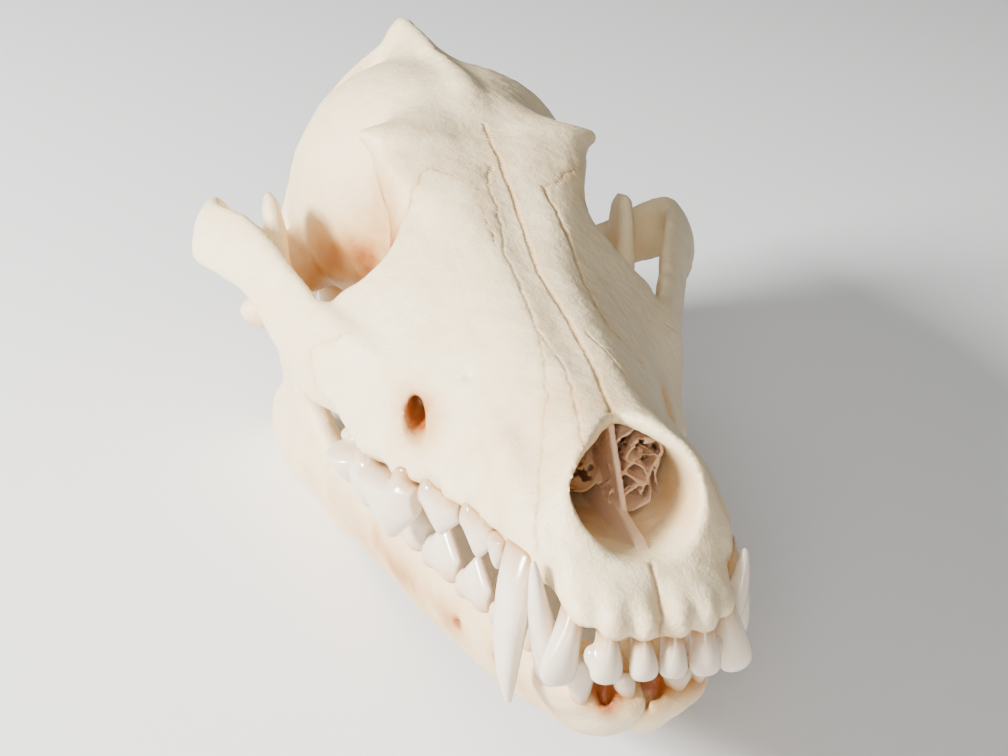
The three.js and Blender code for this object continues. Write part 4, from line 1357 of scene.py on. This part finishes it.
    def rows(self) -> dict[str, list[Tooth]]:
        """The teeth of each row, on both sides."""
        up = Cranium.UP_FRONT
        worn = (*self.UPPER_CANINE[:4], self.WORN_TIP)
        canine = Tooth((sweep(self.UPPER_CANINE, up, 60, 36),), *self.UPPER_CANINE_NECK)
        worn_canine = Tooth((sweep(worn, up, 40, 36),), *self.UPPER_CANINE_NECK)
        lower = Tooth((sweep(self.LOWER_CANINE, up, 60, 36),), *self.LOWER_CANINE_NECK)
        upper, under = (
            [Tooth(tuple(self.incisor(*one)), one[0][2], bare) for one in incisors]
            for incisors, bare in (
                (self.UPPER_INCISORS, self.BARE_UPPER_INCISOR),
                (self.LOWER_INCISORS, self.BARE_LOWER_INCISOR),
            )
        )
        upper += [tooth.mirrored() for tooth in upper]
        rows = {
            "upper_front_teeth": [*upper, canine.mirrored(), worn_canine],
            "lower_front_teeth": [*under, lower, lower.mirrored()],
        }
        for name, table, way, bare in (
            ("upper", self.UPPER_CHEEK, -1, self.BARE_UPPER),
            ("lower", self.LOWER_CHEEK, 1, self.BARE_LOWER),
        ):
            for side in Side:
                teeth = [
                    Tooth(
                        tuple(self.cheek(row, way)),
                        row[2],
                        bare if row[3] > self.ONE_ROOT_BELOW else self.BARE_SINGLE,
                    )
                    for row in table
                ]
                if side is Side.RIGHT:
                    teeth = [tooth.mirrored() for tooth in teeth]
                rows[f"{name}_cheek_teeth_{side.name.lower()}"] = teeth
        return rows


class NoseBones:
    """Curled, lacy sheets of thin bone inside the nose, beside the smooth plate of the septum."""

    LOW, HIGH = (-11, 8, 7), (11, 50, 28)
    # [x, z, way it turns, distance between its turns]
    SCROLLS = ((5.2, 18.5, 1, 2.6), (4.6, 12.8, -1, 2.3), (-5.2, 17.5, -1, 2.6))
    SCROLL_RADIUS = 5.6
    HALF_SHEET = 0.1  # of the distance between two turns
    SOLID_BELOW = 0.42  # where the noise is above it, the sheets have holes
    FRONT, BACK = 25.5, 47.0
    HALF_SEPTUM = 0.5

    def __init__(self, step: float) -> None:
        self.field = Field(self.LOW, self.HIGH, step)
        self.noise = Noise(41)
        where, points = self.field.grid(self.LOW, self.HIGH)
        values = self._form(points)
        self.field.values[where] = np.clip(values, -self.field.far, self.field.far)

    def _form(self, points: Array) -> Array:
        """Distances to the scrolls, the septum and the ridge below it.

        Args:
            points: The grid's points.

        Returns:
            A grid of distances.
        """
        flat = points.reshape(-1, 3)
        warp = np.stack([self.noise.layered(flat + 30 * i, 5.0, 2) for i in range(3)], -1)
        x, y, z = (flat + 1.5 * warp).T
        # sheets curled round a long axis on each side: rings whose radius grows as they turn
        sheets = np.full(len(flat), 9.0)
        for middle, height, sign, pitch in self.SCROLLS:
            radius = np.hypot(x - middle, (z - height) * 0.9)
            angle = np.arctan2(z - height, x - middle) / (2 * np.pi)
            turn = (radius / pitch + sign * angle + 0.03 * y) % 1.0
            scroll = (np.minimum(turn, 1 - turn) - self.HALF_SHEET) * pitch
            sheets = np.minimum(sheets, np.maximum(scroll, radius - self.SCROLL_RADIUS))
        # holes through the sheets
        lace = self.noise(flat, 1.5) + 0.6 * self.noise(flat + 60, 0.8)
        sheets = np.maximum(sheets, (lace - self.SOLID_BELOW) * 0.9)
        front = self.FRONT + 2.2 * self.noise(flat + 11, 4.0)
        px, py, pz = flat.T
        sheets = np.maximum(sheets, front + np.where(px < 0, 5, 0) - py)
        sheets = np.maximum(sheets, py - self.BACK)
        # the septum's plate, and the ridge below it that runs out to the rim
        lean = px - 0.6 - 0.12 * (18 - pz)
        reach = np.maximum(21.0 + 0.32 * (pz - 12) - py, np.abs(pz - 18.5) - 7.0)
        top = np.maximum(np.abs(lean) - self.HALF_SEPTUM, reach)
        crest = 8.0 + 4.4 * np.clip((py - 9) / 14, 0, 1) ** 0.7
        ridge = np.maximum(8.5 - py, (pz - crest) * 0.8)
        ridge = np.maximum(np.abs(px - 1.0) - self.HALF_SEPTUM - 0.16 * (13 - pz), ridge)
        ridge = np.maximum(ridge, py - 48)
        return np.minimum(sheets, np.minimum(top, ridge)).reshape(points.shape[:3])


class Relief:
    """The small relief and the colours of a bone, from its place, its hollows and the lines over it; the
    darkening of its hollows is painted shade together with the bone's own tan.
    """

    NEAR, WIDE = 1.6, 6.0  # how far round a point its hollows are felt
    LIFT = 0.6  # how far above the surface they are felt
    # share of bone around at which a hollow begins to darken with painted shade and the bone's tan, how fast
    # it does, and how much in all
    NEAR_HOLLOW, WIDE_HOLLOW = (0.46, 2.4, 0.5), (0.5, 2.6, 0.65)
    # [height, width, layers] of the surface's waves and of its grain
    UNEVENNESS = ((0.3, 11.0, 3), (0.1, 2.4, 2))
    FINE_BORDER = 1.6  # how far from a line the mesh has to be fine
    STAIN_AND_SHADE_PATCHES = (0.8, 0.5, 8.0, 3)  # [least share, height, width, layers] of the noise in the darker regions of stain and painted shade
    SOFT_STAIN = 0.3  # how dark the border of a line is, beside the line

    def __init__(
        self,
        field: Field,
        sight: Sight,
        cracks: Sequence[Crack] = (),
        swellings: Sequence[Swelling] = (),
        stains_and_shade: Sequence[StainAndShade] = (),
        trough: Optional[Trough] = None,
        seed: int = 11,
    ) -> None:
        self.near = field.closeness(self.NEAR)
        self.wide = field.closeness(self.WIDE)
        self.cracks = tuple(crack.traced(sight, field) for crack in cracks)
        self.swellings = swellings
        self.stains_and_shade = stains_and_shade
        self.trough = trough
        self.noise = Noise(seed)

    def wanted(self, points: Array) -> Array:
        """Tells where the mesh has to be fine."""
        close = np.zeros(len(points), bool)
        for crack in self.cracks:
            close |= crack.away(points, self.FINE_BORDER + 0.1) < self.FINE_BORDER
        return close

    def dress(self, skin: Skin) -> Skin:
        """Moves a skin's points by the relief and gives it its values.

        Args:
            skin: The plain skin.

        Returns:
            The finished skin.
        """
        normals = skin.normals()
        count = len(skin.points)
        height = np.zeros(count)
        for rise, width, layers in self.UNEVENNESS:
            height += rise * self.noise.layered(skin.points, width, layers)
        for swelling in self.swellings:
            height += swelling.at(skin.points)
        if self.trough:
            height -= self.trough.at(skin.points, normals)
        groove, stain = np.zeros(count), np.zeros(count)
        for crack in self.cracks:
            sharp, soft = crack.shares(skin.points, self.noise)
            height -= crack.crack.depth * sharp
            groove = np.maximum(groove, crack.crack.stain * sharp)
            stain = np.maximum(stain, self.SOFT_STAIN * crack.crack.stain * soft)
        # painted shade in the hollows, from how much bone lies round each point just above the surface,
        # together with the bone's own tan
        outside = skin.points + normals * self.LIFT
        near, wide = (
            most * np.clip((share(outside) - start) * rate, 0, 1)
            for share, (start, rate, most) in ((self.near, self.NEAR_HOLLOW), (self.wide, self.WIDE_HOLLOW))
        )
        # darker regions: the bone's own tan together with painted shade in hollows, holes and under the bone
        regional_stain_and_shade = sum((one.at(skin.points) for one in self.stains_and_shade), np.zeros(count))
        least, rise, width, layers = self.STAIN_AND_SHADE_PATCHES
        patches = least + rise * self.noise.layered(skin.points + 90, width, layers)
        tan = np.clip(near + wide + stain + regional_stain_and_shade * patches, 0, 1)
        points = skin.points + normals * height[:, None]
        return Skin(points, skin.triangles, {"tan": tan, "groove": groove})


# Lines over the bone, as corners in the picture's pixels
BETWEEN_NASALS = (
    (485, 119), (502, 156), (517, 198), (527, 227), (540, 267), (563, 305), (586, 345), (597, 369), (612, 409)
)
BESIDE_RIGHT_NASAL = (
    (492, 160), (488, 181), (498, 204), (504, 234), (505, 250), (517, 274), (529, 305), (538, 328),
    (550, 344), (563, 363), (572, 390), (579, 426), (582, 440),
)
BESIDE_LEFT_NASAL = (
    (544, 185), (559, 219), (569, 240), (582, 274), (595, 301), (609, 326), (632, 349), (641, 360)
)
RIGHT_CHEEK_AND_FOREHEAD = (
    (404, 214), (416, 185), (422, 173), (435, 166), (452, 173), (464, 181), (477, 187), (483, 202),
    (489, 227), (498, 242),
)
LEFT_CHEEK_AND_FOREHEAD = ((544, 185), (559, 183), (567, 173), (580, 167))
BEHIND_INCISOR_BONE = (
    (538, 328), (540, 340), (548, 394), (543, 426), (540, 454), (538, 483), (537, 519), (538, 552)
)
BETWEEN_INCISOR_BONES = ((652, 565), (654, 571), (660, 600), (663, 613), (662, 640))
CHEEK_AND_ARCH = ((351, 330), (330, 341), (310, 348), (312, 368), (316, 388))
BEFORE_EYE_SOCKET = ((412, 200), (404, 215), (396, 232), (388, 252))

SKULL_CRACKS = (
    Crack(BETWEEN_NASALS, width=0.34, depth=0.42, stain=0.75, wander=0.15),
    Crack(BESIDE_RIGHT_NASAL, stain=0.5),
    Crack(BESIDE_LEFT_NASAL, width=0.36, depth=0.4, stain=0.65),
    Crack(RIGHT_CHEEK_AND_FOREHEAD, width=0.28, depth=0.25, stain=0.5, wander=0.7),
    Crack(LEFT_CHEEK_AND_FOREHEAD, width=0.28, stain=0.45, wander=0.6),
    Crack(BEHIND_INCISOR_BONE, width=0.26, depth=0.24, stain=0.4, paired=True),
    Crack(BETWEEN_INCISOR_BONES, width=0.36, depth=0.45, stain=0.6, wander=0.25),
    Crack(CHEEK_AND_ARCH, width=0.26, stain=0.3, paired=True),
    Crack(BEFORE_EYE_SOCKET, width=0.5, depth=0.3, stain=0.35, paired=True),
)


NASAL_TROUGH = Trough(
    (
        (18, 0.0, 3.0),
        (28, 0.6, 3.2),
        (45, 1.0, 3.6),
        (70, 1.4, 4.6),
        (92, 1.9, 6.4),
        (110, 1.5, 8.0),
        (124, 0.0, 7.0),
    )
)
INCISOR_ROOTS = ((2.6, 0), (7.2, 1), (11.6, 4))
ROOT_GAPS = ((4.9, 0.5), (9.6, 2.5))
SKULL_SWELLINGS = (
    # a small pit in the right cheek
    Swelling((-15.5, 51, 25.3), (0.9, 0.9, 0.9), -0.9),
    # bulges over the roots of the incisors, and dents between them
    *(Swelling((side * x, y, 2.8), (1.6, 4.0, 3.0), 0.9) for side in (1, -1) for x, y in INCISOR_ROOTS),
    *(Swelling((side * x, y, 1.6), (0.9, 4.0, 2.4), -0.7) for side in (1, -1) for x, y in ROOT_GAPS),
    *(Swelling((side * 5.4, 1.0, 7.6), (4.2, 4.0, 3.0), 0.6) for side in (1, -1)),
    Swelling((0, 0, 6.0), (1.4, 4.0, 3.4), -0.5),
    # bulges over the roots of the cheek teeth
    *(
        Swelling((side * x, y, z), (5.0, reach, 4.2), height)
        for side in (1, -1)
        for x, y, z, reach, height in (
            (19.0, 32.2, 8.6, 1.7, 0.7),
            (20.0, 37.4, 8.8, 1.7, 0.7),
            (22.2, 43.4, 8.6, 1.9, 0.8),
            (24.6, 49.6, 8.2, 1.9, 0.8),
            (27.6, 55.8, 8.4, 2.2, 0.9),
            (30.6, 64.6, 8.2, 2.4, 0.9),
        )
    ),
)
JAW_SWELLINGS = (
    *(Swelling((x, y, -13.0), (1.6, 4.0, 3.0), 0.5) for x, y in ((2.2, 4.5), (5.8, 6.0), (9.2, 8.0))),
    Swelling((11.2, 14.0, -14.0), (3.0, 5.0, 5.0), 0.7),
    *(
        Swelling((x + 3.2, y, -11.4), (3.0, reach, 2.6), 0.45)
        for x, y, reach in ((12.6, 27.5, 1.5), (14.4, 32.6, 1.5), (15.4, 38.0, 1.7), (16.6, 43.4, 1.7),
                            (17.8, 49.4, 1.9), (19.2, 55.2, 1.9), (20.4, 63.0, 2.4), (22.0, 72.8, 2.6))
    ),
    Swelling((36.0, 130, 2), (4.0, 12.0, 12.0), -0.9),
)
# Darker regions of the skull, in the orbits, the temporal hollows, the nose, the holes, the joints and under
# the skull: the bone's own tan together with painted shade
SKULL_STAINS_AND_SHADE = (
    StainAndShade((19, 106, 34), (10, 15, 15), 1.0),
    StainAndShade((27, 120, 22), (12, 16, 11), 1.0),
    StainAndShade((40, 148, 17), (13, 9, 8), 0.75),
    StainAndShade((22.6, 56, 16.4), (3.4, 6.5, 4.2), 1.3),
    StainAndShade((-2.5, 32, 16.5), (9, 15, 7.5), 1.3, False),
    StainAndShade((9, 20, 14), (3, 8, 7), 0.3),
    StainAndShade((0, 60, 1), (22, 42, 4), 0.35, False),
    StainAndShade((0, 112, 14), (12, 22, 10), 0.5, False),
    StainAndShade((0, 184, 24), (9, 12, 9), 0.8, False),
    StainAndShade((0, 7, -0.5), (15, 5, 2.6), 0.75, False),
    StainAndShade((24, 52, 4.5), (7, 24, 2.2), 0.4),
    StainAndShade((26, 140, 24), (12, 22, 12), 0.3),
)
# Darker regions of the lower jaw about its joint, its sockets and its outer face: the bone's own tan together
# with painted shade
JAW_STAINS_AND_SHADE = (
    StainAndShade((34, 150, 8), (10, 6, 6), 0.25, False),
    # the darkening along the jaw's outer face is painted shadow together with its own tan
    StainAndShade((22, 70, -17), (9, 60, 6), 0.75, False),
    StainAndShade((8, 30, -18), (7, 30, 8), 0.35, False),
    StainAndShade((4, 6, -9.6), (9, 5, 3), 0.9, False),
)


class Studio:
    """Floor, light and camera."""

    def __init__(self, placing: Placing) -> None:
        self.placing = placing

    def floor(self) -> None:
        """A pale floor, wide enough to fill the picture."""
        half = 4.0
        mesh = bpy.data.meshes.new("floor")
        corners = [(-half, -half, 0), (half, -half, 0), (half, half, 0), (-half, half, 0)]
        mesh.from_pydata(corners, [], [(0, 1, 2, 3)])
        graph = Graph("floor")
        mesh.materials.append(graph.shade(Base_Color=(0.86, 0.86, 0.85, 1), Roughness=0.9))
        floor = bpy.data.objects.new("floor", mesh)
        bpy.context.collection.objects.link(floor)

    def lights(self) -> None:
        """A wide key light from the picture's left, weaker lights from the front and from above, and an even
        sky.
        """
        # [name, place and width in metres, power in watts]
        for name, place, size, power in (
            ("key", (-0.76, -0.1, 0.40), 0.22, 30.0),
            ("front", (-0.3, -0.75, 0.45), 0.4, 5.0),
            ("top", (-0.2, 0.3, 0.9), 0.7, 2.0),
        ):
            data = bpy.data.lights.new(name, "AREA")
            data.size, data.energy = size, power
            lamp = bpy.data.objects.new(name, data)
            lamp.location = place
            lamp.rotation_euler = (Vector((0, 0, 0.04)) - Vector(place)).to_track_quat("-Z", "Y").to_euler()
            bpy.context.collection.objects.link(lamp)
        world = bpy.data.worlds.new("sky")
        world.use_nodes = True
        background = world.node_tree.nodes["Background"]
        background.inputs[0].default_value = (1.0, 0.99, 0.98, 1)
        background.inputs[1].default_value = 0.18
        bpy.context.scene.world = world

    def camera(self) -> None:
        """The photo's camera."""
        data = bpy.data.cameras.new("camera")
        data.lens, data.sensor_width, data.sensor_fit = CAMERA_LENS, SENSOR_WIDTH, "HORIZONTAL"
        camera = bpy.data.objects.new("camera", data)
        axes = (CAMERA_RIGHT, CAMERA_DOWN, CAMERA_FORWARD)
        right, down, forward = (self.placing.direction(axis) for axis in axes)
        turn = Matrix((right, -down, -forward)).transposed().to_4x4()
        camera.matrix_world = Matrix.Translation(self.placing.straight(CAMERA_EYE)) @ turn
        bpy.context.collection.objects.link(camera)
        bpy.context.scene.camera = camera


class Skull:
    """The whole object, piece by piece."""

    def __init__(self) -> None:
        self.placing = Placing(REST_TILT, REST_SHIFT)
        self.sight = Sight(self.placing)
        self.maker = Maker(self.placing)
        self.bone_step = 0.75
        self.tooth_step = 0.25
        self.nose_step = 0.32
        self.cuts = 2
        self.bone = BoneFinish().material("bone")
        self.enamel = EnamelFinish().material("enamel")
        # a darker, warmer copy of the bone's finish for the bones inside the nose: their own tone together
        # with painted shade
        self.scroll = BoneFinish(pale=(0.72, 0.52, 0.36), warm=(0.6, 0.36, 0.2)).material("nose_bone")

    def build(self) -> None:
        """Builds every piece."""
        cranium = Cranium(self.bone_step)
        self._cranium(cranium)
        jaws = {side: JawHalf(self.bone_step, self.placing, side) for side in Side}
        for side, jaw in jaws.items():
            self._jaw(side, jaw)
        self._teeth(cranium.field, {side: jaw.field for side, jaw in jaws.items()})
        self._nose()

    def _cranium(self, cranium: Cranium) -> None:
        """Builds the skull's bone and shares it out among its nodes.

        Args:
            cranium: The skull without its lower jaw.
        """
        relief = Relief(cranium.field, self.sight, SKULL_CRACKS, SKULL_SWELLINGS, SKULL_STAINS_AND_SHADE, NASAL_TROUGH)
        points, triangles = refined(cranium.field.mesh(), relief.wanted, self.cuts)
        skin = relief.dress(Skin(points, triangles, {}))
        normals = skin.normals()
        middle = skin.points[skin.triangles].mean(axis=1)
        x, y, z = np.abs(middle[:, 0]), middle[:, 1], middle[:, 2]
        front = (x > ARCH_FRONT[0]) & (y > ARCH_FRONT[1]) & (y <= ARCH_BACK[1]) & (z > ARCH_FRONT[2])
        back = (x > ARCH_BACK[0]) & (y > ARCH_BACK[1]) & (z > ARCH_BACK[2])
        arch = (front | back) & (z < ARCH_TOP)
        parts = {
            "muzzle": ~arch & (y < FOREFACE_CUT),
            "braincase": ~arch & (y >= FOREFACE_CUT),
            "cheek_arch_left": arch & (middle[:, 0] > 0),
            "cheek_arch_right": arch & (middle[:, 0] < 0),
        }
        for name, faces in parts.items():
            piece = Skin(skin.points, skin.triangles[faces], skin.values)
            made = self.maker.make(f"{name}_bone", piece, normals, self.bone)
            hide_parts(name)

    def _jaw(self, side: Side, jaw: JawHalf) -> None:
        """Builds one half of the lower jaw.

        Args:
            side: The half's side.
            jaw: The half, as a left one.
        """
        # painted shade together with the bone's tan in the empty sockets and round the nerve holes
        sockets = tuple(
            StainAndShade(centre, tuple(radius + 0.5 for radius in radii), 1.0, False) for centre, radii in jaw.sockets
        )
        holes = tuple(StainAndShade(centre, (1.8, 1.5, 1.2), 0.7, False) for centre, _ in jaw.HOLES)
        stains_and_shade = JAW_STAINS_AND_SHADE + sockets + holes
        relief = Relief(jaw.field, self.sight, (), JAW_SWELLINGS, stains_and_shade, seed=23 + side.value)
        points, triangles = refined(jaw.field.mesh(), relief.wanted, 0)
        skin = relief.dress(Skin(points, triangles, {}))
        if side is Side.RIGHT:
            skin = Skin(skin.points * np.array([-1, 1, 1]), skin.triangles[:, ::-1], skin.values)
        name = f"jaw_{side.name.lower()}"
        made = self.maker.make(f"{name}_bone", skin, skin.normals(), self.bone)
        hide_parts(name)

    def _teeth(self, cranium: Field, jaws: dict[Side, Field]) -> None:
        """Builds the rows of teeth.

        Args:
            cranium: The bone that holds the upper teeth.
            jaws: The bone that holds the lower ones, each half as a left one.
        """

        def skull_bone(points: Array) -> Array:
            """Distances to the skull."""
            return cranium.at(points)

        def jaw_bone(points: Array) -> Array:
            """Distances to the half of the lower jaw on each point's side."""
            outward = points.copy()
            outward[:, 0] = np.abs(outward[:, 0])
            left = points[:, 0] > 0
            return np.where(left, jaws[Side.LEFT].at(outward), jaws[Side.RIGHT].at(outward))

        teeth = Teeth(self.tooth_step)
        for name, row in teeth.rows().items():
            bone, way = (skull_bone, -1) if name.startswith("upper") else (jaw_bone, 1)
            points, triangles, count = [], [], 0
            for tooth in row:
                surface = teeth.field_of(tooth, bone, way).mesh()
                quads = surface.quads
                points.append(surface.points)
                triangles.append(np.vstack([quads[:, [0, 1, 2]], quads[:, [0, 2, 3]]]) + count)
                count += len(surface.points)
            where = np.vstack(points)
            neck = np.exp(-np.maximum(bone(where), 0) / Teeth.NECK_TINT_REACH)
            skin = Skin(where, np.vstack(triangles), {"neck": neck})
            made = self.maker.make(name, skin, skin.normals(), self.enamel)

    def _nose(self) -> None:
        """Builds the thin bones inside the nose, darker towards its back and the skull's right."""
        surface = NoseBones(self.nose_step).field.mesh()
        quads = surface.quads
        triangles = np.vstack([quads[:, [0, 1, 2]], quads[:, [0, 2, 3]]])
        # darker towards the back: painted shade deep in the nose together with the bone's own tan; also darker
        # towards the skull's right
        depth = np.clip((surface.points[:, 1] - 22) / 16, 0, 1) * 0.5 + 0.12
        depth = depth + 0.3 * np.clip(-surface.points[:, 0] / 4, 0, 1)
        zero = np.zeros(len(depth))
        skin = Skin(surface.points, triangles, {"tan": depth, "groove": zero})
        made = self.maker.make("nose_scrolls", skin, skin.normals(), self.scroll)


def main() -> None:
    """Builds the skull and its studio."""
    skull = Skull()
    skull.build()
    studio = Studio(skull.placing)
    studio.floor()
    studio.lights()
    studio.camera()


if __name__ == "__main__":
    main()
